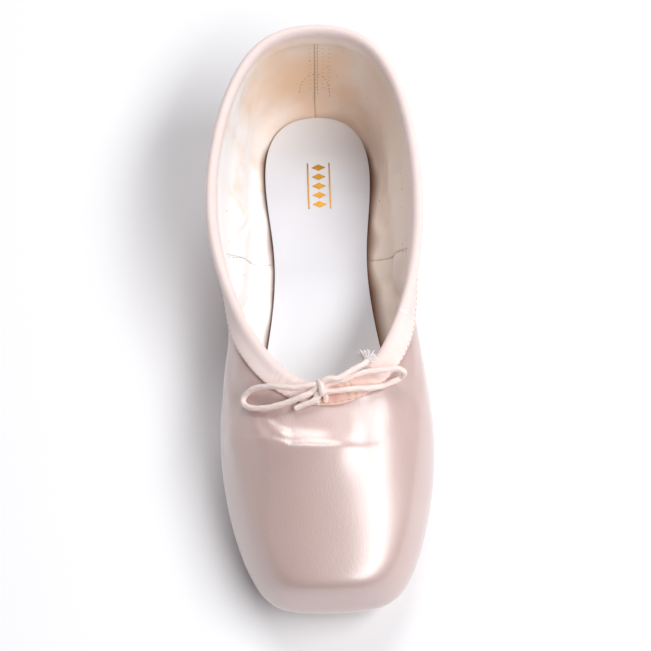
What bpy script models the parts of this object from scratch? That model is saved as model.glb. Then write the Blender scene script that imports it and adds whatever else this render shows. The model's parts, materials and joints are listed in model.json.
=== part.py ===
"""Pointe shoe: a satin upper closed round a thin leather sole, with its insole, drawstring binding and bow.

Metres, +Z up. The toe points to -Y, the heel to +Y, and the shoe stands on its sole at z = 0 with the
middle of its box at the origin. "Along" is the distance from the back of the heel towards the toe,
"half" the distance from the middle line, and "height" the distance above the floor.
"""
import math

import bpy
import numpy as np

# Driving dimensions of the last
LENGTH = 0.236
HEEL_WIDTH = 0.063
WAIST_WIDTH = 0.066
BALL_WIDTH = 0.086
PLATFORM_WIDTH = 0.057
PLATFORM_HEIGHT = 0.0315
PLATFORM_LEAN = 0.0012
WALL_LOW_HEIGHT = 0.012
WALL_HIGH_HEIGHT = 0.022
TURN_HEIGHT = 0.0026
TURN_FULLNESS = 0.0015
FEATHER_WIDTH = 0.0012

# Driving dimensions of the collar, the line where the foot goes in
COLLAR_WIDTH = 0.0858
VAMP_LENGTH = 0.077
VAMP_CROWN = 0.0030
HEEL_HEIGHT = 0.059
SIDE_HEIGHT = 0.040
THROAT_HEIGHT = 0.0495
COLLAR_LEAN = 0.0024

# Driving dimensions of the sole and of the layers on it
SOLE_WIDTH = 0.062
SOLE_THICKNESS = 0.0024
SOLE_EDGE_ROUND = 0.0006
ARCH_RISE = 0.0050
TOE_SPRING = 0.0035
UPPER_WALL = 0.0018
MARGIN = 0.007
INSOLE_THICKNESS = 0.0016
INSOLE_EDGE_ROUND = 0.0004
INSOLE_INSET = 0.0006
INSOLE_HEEL_INSET = 0.0042
INSOLE_SEAT = 0.0006
CLEARANCE = 0.0003
BINDING_CLEARANCE = 0.0005

# Driving dimensions of the binding and of the cord in it
BINDING_WIDTH = 0.0076
BINDING_THROAT_WIDTH = 0.0068
BINDING_TAPE = 0.0007
BINDING_ROLL = 0.0009
CORD_DIAMETER = 0.0021
KNOT_LENGTH = 0.0046
KNOT_WIDTH = 0.0060
KNOT_HEIGHT = 0.0046
KNOT_SIDE = -0.0027
KNOT_DROP_SHARE = 0.18
KNOT_GAP = 0.0006

# Where the shape changes along the shoe, as shares of the length
ARCH_START_SHARE = 0.22
ARCH_END_SHARE = 0.62
SPRING_START_SHARE = 0.82
VAMP_START_SHARE = 0.50
VAMP_FULL_SHARE = 0.80
PLATFORM_START_SHARE = 0.90
PLATFORM_FULL_SHARE = 0.98
INSOLE_HEEL_END_SHARE = 0.15

# Where the binding starts to narrow towards the throat, as a share of the collar's length
TAPER_START_SHARE = 0.67

# Shares of the way from the sole's edge out to the wall at the rounded turn, at the sides and at the toe
TURN_SHARE = 0.76
TURN_TOE_SHARE = 0.88

# Shares of the way from the shoulder up to the collar at the two rings between them, the nearer one also
# at the toe, and the share of the crown that the nearer one takes
NEAR_SHARE = 0.12
NEAR_TOE_SHARE = 0.07
CROWN_SHARE = 0.52
NEAR_CROWN_SHARE = 0.33

# Shares of the collar's lean that the shoulder, the two rings above it and the collar's edge take
LEAN_SHARES = (0.35, 0.5, 0.75, 1.0)

# The last's stations, one row for each, from the middle of the heel round to the middle of the toe.
# Lengths along the shoe are shares of LENGTH, and those of the collar shares of the collar's length.
# Halves are shares of half the width that the table follows, and those of the sole of SOLE_WIDTH / 2.
# The shoulder's height is a share of the height that the table follows. The collar's rise is 0 at
# SIDE_HEIGHT and 1 at the height of the heel or of the throat.
COLUMNS = ("sole_along", "sole_half", "wide_along", "wide_half", "shoulder_along", "shoulder_half",
           "shoulder_height", "collar_along", "collar_half", "collar_rise")

HEEL_STATIONS = (
    (0.034, 0.000, -0.003, 0.000, 0.000, 0.000, 0.62, 0.000, 0.000, 1.00),
    (0.040, 0.330, 0.011, 0.440, 0.013, 0.470, 0.62, 0.019, 0.385, 0.99),
    (0.072, 0.635, 0.047, 0.820, 0.047, 0.870, 0.61, 0.079, 0.645, 0.95),
    (0.136, 0.765, 0.119, 0.990, 0.117, 1.070, 0.59, 0.187, 0.845, 0.81),
    (0.229, 0.735, 0.220, 1.030, 0.218, 1.190, 0.55, 0.330, 0.970, 0.56),
)
WAIST_STATIONS = (
    (0.339, 0.620, 0.331, 0.940, 0.328, 1.140, 0.76, 0.485, 1.010, 0.32),
    (0.441, 0.650, 0.432, 1.000, 0.426, 1.140, 0.74, 0.627, 0.950, 0.10),
    (0.538, 0.780, 0.530, 1.130, 0.521, 1.130, 0.74, 0.752, 0.810, 0.00),
)
BALL_STATIONS = (
    (0.631, 0.940, 0.640, 0.980, 0.619, 0.920, 0.64, 0.852, 0.640, 0.25),
    (0.733, 1.000, 0.750, 1.000, 0.716, 0.885, 0.65, 0.928, 0.485, 0.60),
    (0.847, 0.870, 0.873, 0.890, 0.845, 0.770, 0.68, 0.977, 0.300, 0.87),
)
TOE_STATIONS = (
    (0.925, 0.600, 0.993, 0.980, 0.975, 0.840, 1.00, 0.996, 0.160, 0.98),
    (0.952, 0.290, 1.008, 0.480, 0.992, 0.400, 1.06, 1.002, 0.075, 1.00),
    (0.956, 0.000, 1.009, 0.000, 0.993, 0.000, 1.07, 1.003, 0.000, 1.00),
)
# Each table, the width and the height that it follows, and the height that its collar rises to
LAST = (
    (HEEL_STATIONS, HEEL_WIDTH, HEEL_HEIGHT, HEEL_HEIGHT),
    (WAIST_STATIONS, WAIST_WIDTH, SIDE_HEIGHT, HEEL_HEIGHT),
    (BALL_STATIONS, BALL_WIDTH, THROAT_HEIGHT, THROAT_HEIGHT),
    (TOE_STATIONS, PLATFORM_WIDTH, PLATFORM_HEIGHT, THROAT_HEIGHT),
)

# Routes of the bow's cords, from the middle of the knot
LEFT_LOOP = (
    (-0.0029, 0.0011, 0.0004), (-0.0099, 0.0007, -0.0009), (-0.0169, 0.0024, -0.0029),
    (-0.0224, 0.0037, -0.0062), (-0.0262, 0.0040, -0.0091), (-0.0288, 0.0029, -0.0119),
    (-0.0296, 0.0010, -0.0129), (-0.0286, -0.0013, -0.0123), (-0.0253, -0.0034, -0.0101),
    (-0.0204, -0.0045, -0.0074), (-0.0160, -0.0045, -0.0052), (-0.0111, -0.0039, -0.0031),
    (-0.0068, -0.0029, -0.0011), (-0.0029, -0.0014, -0.0006),
)
RIGHT_LOOP = (
    (0.0028, -0.0015, -0.0006), (0.0083, -0.0010, -0.0006), (0.0137, -0.0002, -0.0015),
    (0.0192, 0.0005, -0.0031), (0.0236, 0.0022, -0.0054), (0.0276, 0.0046, -0.0077),
    (0.0310, 0.0067, -0.0091), (0.0328, 0.0077, -0.0066), (0.0322, 0.0078, -0.0043),
    (0.0299, 0.0080, -0.0023), (0.0248, 0.0070, -0.0011), (0.0193, 0.0062, -0.0002),
    (0.0140, 0.0048, 0.0003), (0.0099, 0.0029, 0.0005), (0.0028, 0.0009, 0.0002),
)
LEFT_END = (
    (-0.0010, -0.0038, -0.0013), (-0.0031, -0.0048, -0.0021), (-0.0069, -0.0056, -0.0034),
    (-0.0101, -0.0067, -0.0045),
)
RIGHT_END = (
    (0.0022, 0.0020, 0.0027), (0.0074, 0.0025, 0.0030), (0.0119, 0.0055, 0.0023),
    (0.0157, 0.0080, 0.0013), (0.0179, 0.0096, 0.0005), (0.0187, 0.0116, 0.0001),
)

# The knot's outline along the cord, as shares of half its length and of half its width
KNOT_PROFILE = (
    (-1.0, 0.42), (-0.82, 0.72), (-0.45, 0.84), (-0.30, 1.0), (0.30, 1.0), (0.45, 0.84), (0.82, 0.72),
    (1.0, 0.42),
)

# Plain colours and roughness of the five materials
SATIN = ("satin", (0.86, 0.62, 0.56), 0.35)
TAPE = ("tape", (0.90, 0.68, 0.62), 0.7)
SOLE_LEATHER = ("sole_leather", (0.75, 0.62, 0.48), 0.8)
INSOLE_WHITE = ("insole_white", (0.84, 0.84, 0.85), 0.6)
CORD = ("cord", (0.93, 0.74, 0.68), 0.75)

# Fineness of the meshes
SAMPLES_PER_STATION = 3
ROWS_PER_LEVEL = 2
STRIP_LEVELS = 2
STRIP_SAMPLES = 25
BINDING_DROPS = (1.0, 0.66, 0.33, 0.0)
KNOT_SIDES = 14
CORD_RINGS = 2
ROUTE_SAMPLES = 16
ROUTE_STEP = 2 * CORD_DIAMETER
SHARP_DEGREES = 50.0


def smooth_step(share):
    """Rise from 0 to 1 with level ends."""
    share = np.clip(share, 0.0, 1.0)
    return share * share * (3.0 - 2.0 * share)


def floor_lift(along):
    """Height of the sole's underside: flat under the heel and the ball, raised at the arch and the toe."""
    arch = np.clip((along / LENGTH - ARCH_START_SHARE) / (ARCH_END_SHARE - ARCH_START_SHARE), 0.0, 1.0)
    spring = np.clip((along / LENGTH - SPRING_START_SHARE) / (1.0 - SPRING_START_SHARE), 0.0, None)
    return ARCH_RISE * np.sin(math.pi * arch) ** 2 + TOE_SPRING * spring ** 2


def lifted(points):
    """Bend straight-soled points to the sole's curve, less and less up to the top of the side wall."""
    bent = points.copy()
    fade = 1.0 - smooth_step(points[..., 2] / SIDE_HEIGHT)
    bent[..., 2] += floor_lift(LENGTH / 2 - points[..., 1]) * fade
    return bent


def cubic_shares(step):
    """Shares of four neighbouring control points in a cubic B-spline, and the slopes of the shares."""
    value = np.array([(1 - step) ** 3, 3 * step ** 3 - 6 * step ** 2 + 4,
                      -3 * step ** 3 + 3 * step ** 2 + 3 * step + 1, step ** 3]) / 6
    slope = np.array([-(1 - step) ** 2, 3 * step ** 2 - 4 * step, -3 * step ** 2 + 2 * step + 1, step ** 2]) / 2
    return value, slope


def ring_shares(positions, count):
    """Rows of shares that read a closed ring of control points, and their slopes."""
    value = np.zeros((len(positions), count))
    slope = np.zeros((len(positions), count))
    for row, position in enumerate(positions):
        start = math.floor(position)
        shares, slopes = cubic_shares(position - start)
        for step in range(4):
            column = (start - 1 + step) % count
            value[row, column] += shares[step]
            slope[row, column] += slopes[step]
    return value, slope


def run_shares(positions, count):
    """Rows of shares that read an open run of control points from its first point to its last."""
    value = np.zeros((len(positions), count + 2))
    slope = np.zeros((len(positions), count + 2))
    for row, position in enumerate(positions):
        start = min(math.floor(position), count - 2)
        value[row, start:start + 4], slope[row, start:start + 4] = cubic_shares(position - start)
    for table in (value, slope):
        table[:, 1] += 2 * table[:, 0]
        table[:, 2] -= table[:, 0]
        table[:, -2] += 2 * table[:, -1]
        table[:, -3] -= table[:, -1]
    return value[:, 1:-1], slope[:, 1:-1]


def stations():
    """The stations of one side as a dictionary of columns, in metres."""
    rows = []
    for table, width, height, top in LAST:
        for row in table:
            station = dict(zip(COLUMNS, row))
            rows.append((
                station["sole_along"] * LENGTH, station["sole_half"] * SOLE_WIDTH / 2,
                station["wide_along"] * LENGTH, station["wide_half"] * width / 2,
                station["shoulder_along"] * LENGTH, station["shoulder_half"] * width / 2,
                station["shoulder_height"] * height,
                station["collar_along"] * (LENGTH - VAMP_LENGTH), station["collar_half"] * COLLAR_WIDTH / 2,
                SIDE_HEIGHT + station["collar_rise"] * (top - SIDE_HEIGHT),
            ))
    return dict(zip(COLUMNS, np.array(rows).T))


def loop(along, half, height):
    """A closed loop of points from the stations, down the left side and back up the right side."""
    left = np.column_stack([-half, LENGTH / 2 - along, np.broadcast_to(height, along.shape)])
    right = left[-2:0:-1] * (-1, 1, 1)
    return np.concatenate([left, right])


def grown(ring, distance):
    """A ring moved outwards in plan by a distance, or inwards where it is negative."""
    ahead = np.roll(ring, -1, axis=0) - np.roll(ring, 1, axis=0)
    outward = np.column_stack([ahead[:, 1], -ahead[:, 0], np.zeros(len(ring))])
    outward /= np.linalg.norm(outward, axis=1)[:, None]
    return ring + outward * np.reshape(distance, (-1, 1))


def mixed(first, second, share):
    """Points part of the way from one ring to another."""
    return first + (second - first) * np.reshape(share, (-1, 1))


def change(ring, start, full):
    """How far a change that runs between two shares of the length has come at each point of a ring."""
    return smooth_step(((LENGTH / 2 - ring[:, 1]) / LENGTH - start) / (full - start))


def sole_ring():
    """Outline of the outsole in plan."""
    table = stations()
    return loop(table["sole_along"], table["sole_half"], 0.0)


def upper_levels():
    """Control rings of the upper's outer face, from the margin under the insole up to the collar's edge."""
    table = stations()
    bottom = SOLE_THICKNESS + CLEARANCE
    sole = loop(table["sole_along"], table["sole_half"], bottom)
    wide = loop(table["wide_along"], table["wide_half"], WALL_LOW_HEIGHT)
    toe = change(wide, PLATFORM_START_SHARE, PLATFORM_FULL_SHARE)
    high = wide.copy()
    high[:, 1] += toe * PLATFORM_LEAN
    high[:, 2] = WALL_HIGH_HEIGHT
    shoulder = loop(table["shoulder_along"], table["shoulder_half"], table["shoulder_height"])
    edge = loop(table["collar_along"], table["collar_half"], table["collar_rise"])

    # The cloth between the shoulder and the collar is a little crowned over the vamp
    rise = VAMP_CROWN * change(shoulder, VAMP_START_SHARE, VAMP_FULL_SHARE)
    near = mixed(shoulder, edge, NEAR_SHARE + (NEAR_TOE_SHARE - NEAR_SHARE) * toe)
    near[:, 2] += rise * NEAR_CROWN_SHARE
    crown = mixed(shoulder, edge, CROWN_SHARE)
    crown[:, 2] += rise

    # The whole collar leans to one side, as soft walls do
    down = np.clip((LENGTH / 2 - edge[:, 1]) / (LENGTH - VAMP_LENGTH), 0.0, 1.0)
    sway = COLLAR_LEAN * np.sin(math.pi * down) ** 2
    for ring, share in zip((shoulder, near, crown, edge), LEAN_SHARES):
        ring[:, 0] -= sway * share

    turn = mixed(grown(sole, TURN_FULLNESS), wide, TURN_SHARE + (TURN_TOE_SHARE - TURN_SHARE) * toe)
    turn[:, 2] = bottom + TURN_HEIGHT
    feather = grown(sole, FEATHER_WIDTH)
    return np.array([grown(sole, -MARGIN), feather, turn, wide, high, shoulder, near, crown, edge])


def around_positions(count):
    """Where the meshes are read round the rings."""
    return np.arange(count * SAMPLES_PER_STATION) / SAMPLES_PER_STATION


def upper_face(heights, offset):
    """Rows of points at an outward offset from the upper's outer face. Heights count in levels."""
    levels = upper_levels()
    ring, ring_slope = ring_shares(around_positions(levels.shape[1]), levels.shape[1])
    run, run_slope = run_shares(heights, levels.shape[0])
    points = np.einsum("vl,uc,lcd->vud", run, ring, levels)
    along_ring = np.einsum("vl,uc,lcd->vud", run, ring_slope, levels)
    along_run = np.einsum("vl,uc,lcd->vud", run_slope, ring, levels)
    normal = np.cross(along_ring, along_run)
    normal /= np.linalg.norm(normal, axis=2)[..., None]
    climb = along_run / np.linalg.norm(along_run, axis=2)[..., None]
    return points + normal * offset, climb


def paint(name, colour, roughness):
    """A plain Principled material."""
    material = bpy.data.materials.new(name)
    material.use_nodes = True
    surface = material.node_tree.nodes["Principled BSDF"]
    surface.inputs["Base Color"].default_value = (*colour, 1.0)
    surface.inputs["Roughness"].default_value = roughness
    return material


def add_mesh(name, points, faces, material):
    """A smooth-shaded object from points and faces."""
    mesh = bpy.data.meshes.new(name)
    mesh.from_pydata([tuple(point) for point in points], [], faces)
    mesh.shade_smooth()
    mesh.set_sharp_from_angle(angle=math.radians(SHARP_DEGREES))
    mesh.materials.append(material)
    mesh.validate()
    item = bpy.data.objects.new(name, mesh)
    bpy.context.collection.objects.link(item)
    return item


def ring_faces(first, second, count):
    """Quads between two rings of points, given by the index of each ring's first point."""
    faces = []
    for step in range(count):
        ahead = (step + 1) % count
        faces.append((first + step, first + ahead, second + ahead, second + step))
    return faces


def tube_of_rings(name, rings, material):
    """A closed band through rings of points, the last ring joined back to the first."""
    count = len(rings[0])
    faces = []
    for row in range(len(rings)):
        faces += ring_faces(row * count, (row + 1) % len(rings) * count, count)
    return add_mesh(name, np.concatenate(rings), faces, material)


def rung_faces(start, count, facing_up):
    """Quads between the rungs that join the two sides of a ring that starts in the middle of the heel."""
    faces = [(start, start + 1, start + count - 1)]
    for step in range(1, count // 2 - 1):
        faces.append((start + step, start + step + 1, start + count - step - 1, start + count - step))
    faces.append((start + count // 2 - 1, start + count // 2, start + count // 2 + 1))
    return [face if facing_up else face[::-1] for face in faces]


def slab(name, outline, bottom, top, edge_round, material):
    """A thin layer with a rounded rim, bent to the sole's curve."""
    ring, _ = ring_shares(around_positions(len(outline)), len(outline))
    layers = ((-edge_round, bottom), (0.0, bottom + edge_round), (0.0, top - edge_round), (-edge_round, top))
    rings = []
    for inset, height in layers:
        points = ring @ grown(outline, inset)
        points[:, 2] = height
        rings.append(lifted(points))
    count = len(rings[0])
    faces = rung_faces(0, count, False)
    for row in range(len(rings) - 1):
        faces += ring_faces(row * count, (row + 1) * count, count)
    faces += rung_faces((len(rings) - 1) * count, count, True)
    return add_mesh(name, np.concatenate(rings), faces, material)


def build_upper():
    """The satin upper, one shell that is open at the collar and under the foot."""
    top = len(upper_levels()) - 1
    heights = np.linspace(0, top, top * ROWS_PER_LEVEL + 1)
    outer, _ = upper_face(heights, 0.0)
    inner, _ = upper_face(heights, -UPPER_WALL)
    rings = [lifted(row) for row in outer] + [lifted(row) for row in inner[::-1]]
    return tube_of_rings("upper", rings, paint(*SATIN))


def collar_strip(offset, drops):
    """Rings below the collar's edge, each at a share of the binding's width down the upper's face."""
    top = len(upper_levels()) - 1
    fine, climb = upper_face(np.linspace(top, top - STRIP_LEVELS, STRIP_SAMPLES), offset)
    fine = lifted(fine)
    steps = np.linalg.norm(np.diff(fine, axis=0), axis=2)
    distance = np.concatenate([np.zeros((1, fine.shape[1])), np.cumsum(steps, axis=0)])
    along = (LENGTH / 2 - fine[0][:, 1]) / (LENGTH - VAMP_LENGTH)
    taper = smooth_step((along - TAPER_START_SHARE) / (1.0 - TAPER_START_SHARE))
    width = BINDING_WIDTH + (BINDING_THROAT_WIDTH - BINDING_WIDTH) * taper
    rings = []
    for drop in drops:
        ring = np.array([[np.interp(drop * width[point], distance[:, point], fine[:, point, axis])
                          for axis in range(3)] for point in range(fine.shape[1])])
        rings.append(ring)
    return rings, climb[0]


def build_binding():
    """The drawstring casing, a tape folded over the collar's edge."""
    skin = BINDING_CLEARANCE + BINDING_TAPE
    outside, rise = collar_strip(skin, BINDING_DROPS)
    groove_out, _ = collar_strip(BINDING_CLEARANCE, BINDING_DROPS)
    groove_in, _ = collar_strip(-UPPER_WALL - BINDING_CLEARANCE, BINDING_DROPS)
    inside, _ = collar_strip(-UPPER_WALL - skin, BINDING_DROPS)
    middle, _ = collar_strip(-UPPER_WALL / 2, BINDING_DROPS[-1:])
    rings = outside[:-1]
    rings.append(outside[-1] + rise * BINDING_TAPE / 2)
    rings.append(middle[-1] + rise * (BINDING_CLEARANCE + BINDING_TAPE + BINDING_ROLL))
    rings.append(inside[-1] + rise * BINDING_TAPE / 2)
    rings += inside[-2::-1]
    rings += groove_in[:-1]
    rings.append(groove_in[-1] + rise * BINDING_CLEARANCE)
    rings.append(groove_out[-1] + rise * BINDING_CLEARANCE)
    rings += groove_out[-2::-1]
    return tube_of_rings("collar_binding", rings, paint(*TAPE))


def build_outsole():
    """The leather outsole."""
    return slab("outsole", sole_ring(), 0.0, SOLE_THICKNESS, SOLE_EDGE_ROUND, paint(*SOLE_LEATHER))


def build_insole():
    """The insole, which lies on the upper's margin."""
    outline = sole_ring()
    heel = 1.0 - change(outline, 0.0, INSOLE_HEEL_END_SHARE)
    outline = grown(outline, -(INSOLE_INSET + (INSOLE_HEEL_INSET - INSOLE_INSET) * heel))
    bottom = SOLE_THICKNESS + CLEARANCE + UPPER_WALL + INSOLE_SEAT
    top = bottom + INSOLE_THICKNESS
    return slab("insole", outline, bottom, top, INSOLE_EDGE_ROUND, paint(*INSOLE_WHITE))


def smooth_route(route):
    """Evenly spaced points on a smooth curve through a cord's route."""
    points = np.array(route)
    padded = np.concatenate([2 * points[:1] - points[1:2], points, 2 * points[-1:] - points[-2:-1]])
    dense = []
    for first, start, end, last in zip(padded, padded[1:], padded[2:], padded[3:]):
        for share in np.linspace(0, 1, ROUTE_SAMPLES, endpoint=False):
            bend = (2 * first - 5 * start + 4 * end - last) * share ** 2
            twist = (3 * start - first - 3 * end + last) * share ** 3
            dense.append((2 * start + (end - first) * share + bend + twist) / 2)
    dense = np.array(dense + [points[-1]])
    distance = np.concatenate([[0.0], np.cumsum(np.linalg.norm(np.diff(dense, axis=0), axis=1))])
    marks = np.linspace(0, distance[-1], max(2, round(distance[-1] / ROUTE_STEP)) + 1)
    return np.column_stack([np.interp(marks, distance, dense[:, axis]) for axis in range(3)])


def build_cord(name, route, knot, material):
    """A stretch of cord along its route from the knot."""
    points = smooth_route(route)
    curve = bpy.data.curves.new(name, "CURVE")
    curve.dimensions = "3D"
    curve.bevel_depth = CORD_DIAMETER / 2
    curve.bevel_resolution = CORD_RINGS
    curve.use_fill_caps = True
    spline = curve.splines.new("POLY")
    spline.points.add(len(points) - 1)
    for target, point in zip(spline.points, points):
        target.co = (*point, 1.0)
    curve.materials.append(material)
    item = bpy.data.objects.new(name, curve)
    item.location = knot
    bpy.context.collection.objects.link(item)


def build_bow():
    """The bow that ties the drawstring on the binding at the throat."""
    strip, _ = collar_strip(BINDING_CLEARANCE + BINDING_TAPE, (KNOT_DROP_SHARE,))
    throat = strip[0][len(strip[0]) // 2]
    knot = throat + np.array([KNOT_SIDE, 0.0, KNOT_HEIGHT / 2 + KNOT_GAP])
    material = paint(*CORD)
    rings = []
    for along, radius in KNOT_PROFILE:
        turn = np.arange(KNOT_SIDES) * 2 * math.pi / KNOT_SIDES
        rings.append(np.column_stack([
            np.full(KNOT_SIDES, along * KNOT_LENGTH / 2),
            np.cos(turn) * radius * KNOT_WIDTH / 2,
            np.sin(turn) * radius * KNOT_HEIGHT / 2,
        ]))
    faces = [tuple(range(KNOT_SIDES))[::-1]]
    for row in range(len(rings) - 1):
        faces += ring_faces(row * KNOT_SIDES, (row + 1) * KNOT_SIDES, KNOT_SIDES)
    faces.append(tuple(range((len(rings) - 1) * KNOT_SIDES, len(rings) * KNOT_SIDES)))
    add_mesh("bow_knot", np.concatenate(rings), faces, material).location = knot
    for name, route in (("bow_loop_left", LEFT_LOOP), ("bow_loop_right", RIGHT_LOOP),
                        ("bow_end_left", LEFT_END), ("bow_end_right", RIGHT_END)):
        build_cord(name, route, knot, material)


def centre_on_floor(shoe):
    """Move everything so that the middle of the shoe's own pieces stands over the origin."""
    points = np.concatenate([[tuple(vertex.co) for vertex in item.data.vertices] for item in shoe])
    middle = (points.min(axis=0) + points.max(axis=0)) / 2
    for item in bpy.data.objects:
        item.location.x -= middle[0]
        item.location.y -= middle[1]


def clear_scene():
    """Remove what the file holds at the start."""
    for item in list(bpy.data.objects):
        bpy.data.objects.remove(item)


def main():
    """Build the shoe."""
    clear_scene()
    shoe = [build_outsole(), build_upper(), build_insole(), build_binding()]
    build_bow()
    centre_on_floor(shoe)


main()
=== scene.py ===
# %% [markdown]
# # A satin pointe shoe
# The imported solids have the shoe's true sizes, and this lesson gives them their cloth, leather and thread.
# A pointe shoe is a soft slipper round a stiff box of pasted canvas. So the work goes from the drawstring
# that ties it, over the satin and its canvas lining, to the binding, the insole and the sole.

# %% Load the solids
import json
import math
import random

import bmesh
import bpy
import numpy as np
from mathutils import Matrix, Vector, kdtree, noise
from mathutils.bvhtree import BVHTree

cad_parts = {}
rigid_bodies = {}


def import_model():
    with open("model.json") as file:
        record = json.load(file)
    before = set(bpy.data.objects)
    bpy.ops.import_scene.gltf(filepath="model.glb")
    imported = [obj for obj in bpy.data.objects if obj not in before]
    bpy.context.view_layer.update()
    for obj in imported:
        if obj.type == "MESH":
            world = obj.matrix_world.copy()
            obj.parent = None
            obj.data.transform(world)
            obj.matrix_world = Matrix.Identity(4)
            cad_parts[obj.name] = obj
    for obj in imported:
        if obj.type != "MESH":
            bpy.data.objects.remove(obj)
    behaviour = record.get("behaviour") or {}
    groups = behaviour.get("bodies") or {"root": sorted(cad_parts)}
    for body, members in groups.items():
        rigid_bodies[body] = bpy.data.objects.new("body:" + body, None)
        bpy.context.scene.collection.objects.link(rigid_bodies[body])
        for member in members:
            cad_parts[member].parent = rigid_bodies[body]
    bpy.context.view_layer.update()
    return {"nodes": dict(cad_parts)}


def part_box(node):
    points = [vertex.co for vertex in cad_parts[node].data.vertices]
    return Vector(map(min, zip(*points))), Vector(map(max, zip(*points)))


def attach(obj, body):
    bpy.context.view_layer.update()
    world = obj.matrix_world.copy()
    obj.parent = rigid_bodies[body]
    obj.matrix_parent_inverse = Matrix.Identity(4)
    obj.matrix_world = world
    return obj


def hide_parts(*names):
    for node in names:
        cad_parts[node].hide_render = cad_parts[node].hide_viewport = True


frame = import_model()
MM = 0.001
MIDDLE = (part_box("outsole")[0].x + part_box("outsole")[1].x) / 2
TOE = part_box("upper")[0].y
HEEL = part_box("upper")[1].y
print("Solids:", ", ".join(sorted(frame["nodes"])))
print("Length in mm:", round((HEEL - TOE) / MM, 1))

# %% [markdown]
# A scene needs a few tools that every step uses. Selecting one piece alone matters, because Blender's
# operators act on all that is selected, and the loaded solids start out selected.

# %% Small tools for pieces
# The fitting looks at the points after this many levels, which is close to the final surface
FIT_LEVELS = 2


def only(piece):
    """Select one piece alone and make it the active one."""
    bpy.ops.object.select_all(action="DESELECT")
    piece.select_set(True)
    bpy.context.view_layer.objects.active = piece


def select_faces(piece, rule):
    """Enter edit mode with those faces selected whose centre and normal a rule picks."""
    only(piece)
    bpy.ops.object.mode_set(mode="EDIT")
    bpy.ops.mesh.select_mode(type="FACE")
    bpy.ops.mesh.select_all(action="DESELECT")
    bpy.ops.object.mode_set(mode="OBJECT")
    for face in piece.data.polygons:
        face.select = bool(rule(face.center, face.normal))
    bpy.ops.object.mode_set(mode="EDIT")


def leave_edit():
    """Go back to object mode."""
    bpy.ops.object.mode_set(mode="OBJECT")


def joined(pieces):
    """Join some pieces into the first of them."""
    bpy.ops.object.select_all(action="DESELECT")
    for piece in pieces:
        piece.select_set(True)
    bpy.context.view_layer.objects.active = pieces[0]
    bpy.ops.object.join()
    return pieces[0]


def subdivided(piece, levels, fit_rounds=4):
    """Apply a Subdivision Surface. The fitting makes it pass through the piece's own points."""
    only(piece)
    bpy.ops.object.modifier_add(type="SUBSURF")
    modifier = piece.modifiers[-1]
    modifier.levels = FIT_LEVELS
    wanted = points_of(piece)[0]
    cage = wanted.copy()
    for _ in range(fit_rounds):
        smoothed = piece.evaluated_get(bpy.context.evaluated_depsgraph_get()).data
        cage += wanted - points_of_mesh(smoothed)[:len(wanted)]
        move_points(piece, cage)
    modifier.levels = levels
    modifier.render_levels = levels
    bpy.ops.object.modifier_apply(modifier=modifier.name)
    bpy.ops.object.shade_smooth()
    return piece


def cad_copy(node, name, grid=2.0):
    """A copy of a solid whose loose triangles are merged and joined back to quads."""
    piece = bpy.data.objects.new(name, frame["nodes"][node].data.copy())
    piece.data.name = name
    piece.data.materials.clear()
    bpy.context.collection.objects.link(piece)
    only(piece)
    bpy.ops.mesh.customdata_custom_splitnormals_clear()
    bpy.ops.object.mode_set(mode="EDIT")
    bpy.ops.mesh.select_all(action="SELECT")
    bpy.ops.mesh.remove_doubles(threshold=MM / 1000)
    bpy.ops.mesh.tris_convert_to_quads(face_threshold=math.pi, shape_threshold=math.pi,
                                       topology_influence=grid)
    leave_edit()
    bpy.ops.object.shade_smooth()
    return piece


def surface_of(piece):
    """A piece's faces, ready to be searched for the nearest point."""
    return BVHTree.FromObject(piece, bpy.context.evaluated_depsgraph_get())


def points_of_mesh(mesh):
    """A mesh's vertices as an array."""
    points = np.empty(len(mesh.vertices) * 3)
    mesh.vertices.foreach_get("co", points)
    return points.reshape(-1, 3)


def points_of(piece):
    """The piece's vertices and their normals as two arrays."""
    normals = np.empty(len(piece.data.vertices) * 3)
    piece.data.vertex_normals.foreach_get("vector", normals)
    return points_of_mesh(piece.data), normals.reshape(-1, 3)


def move_points(piece, points):
    """Put the piece's vertices where an array says."""
    piece.data.vertices.foreach_set("co", np.ascontiguousarray(points).ravel())
    piece.data.update()


def crease_rims(piece, amount, sharp=math.radians(50)):
    """Crease the sharp edges of a piece, so that subdivision keeps them."""
    only(piece)
    bpy.ops.object.mode_set(mode="EDIT")
    bpy.ops.mesh.select_mode(type="EDGE")
    bpy.ops.mesh.select_all(action="DESELECT")
    bpy.ops.mesh.edges_select_sharp(sharpness=sharp)
    bpy.ops.transform.edge_crease(value=amount)
    leave_edit()


def write_value(piece, name, values):
    """Keep one number for each vertex, which a material can read by its name."""
    layer = piece.data.attributes.get(name) or piece.data.attributes.new(name, "FLOAT", "POINT")
    layer.data.foreach_set("value", np.ascontiguousarray(values, dtype=np.float32))


def settle(piece, *nodes, slot):
    """Make a finished piece ride on the shoe in place of its solids. Its slot is not used."""
    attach(piece, "root")
    if nodes:
        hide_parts(*nodes)
    points = points_of_mesh(piece.data)
    size = (points.max(axis=0) - points.min(axis=0)) / MM
    print(piece.name, "has", len(piece.data.polygons), "faces and measures", np.round(size, 1), "mm")


# %% [markdown]
# Curves of all kinds are needed: seams, rims, creases and cords. A few listed points are enough,
# because a smooth curve through them can be measured and read at even steps.

# %% Small tools for lines
def steps_along(line):
    """How far along a line each of its points lies."""
    return np.concatenate([[0.0], np.cumsum(np.linalg.norm(np.diff(line, axis=0), axis=1))])


def places_at(line, steps, marks):
    """The places on a line at some distances along it."""
    return np.column_stack([np.interp(marks, steps, line[:, axis]) for axis in range(3)])


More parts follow.
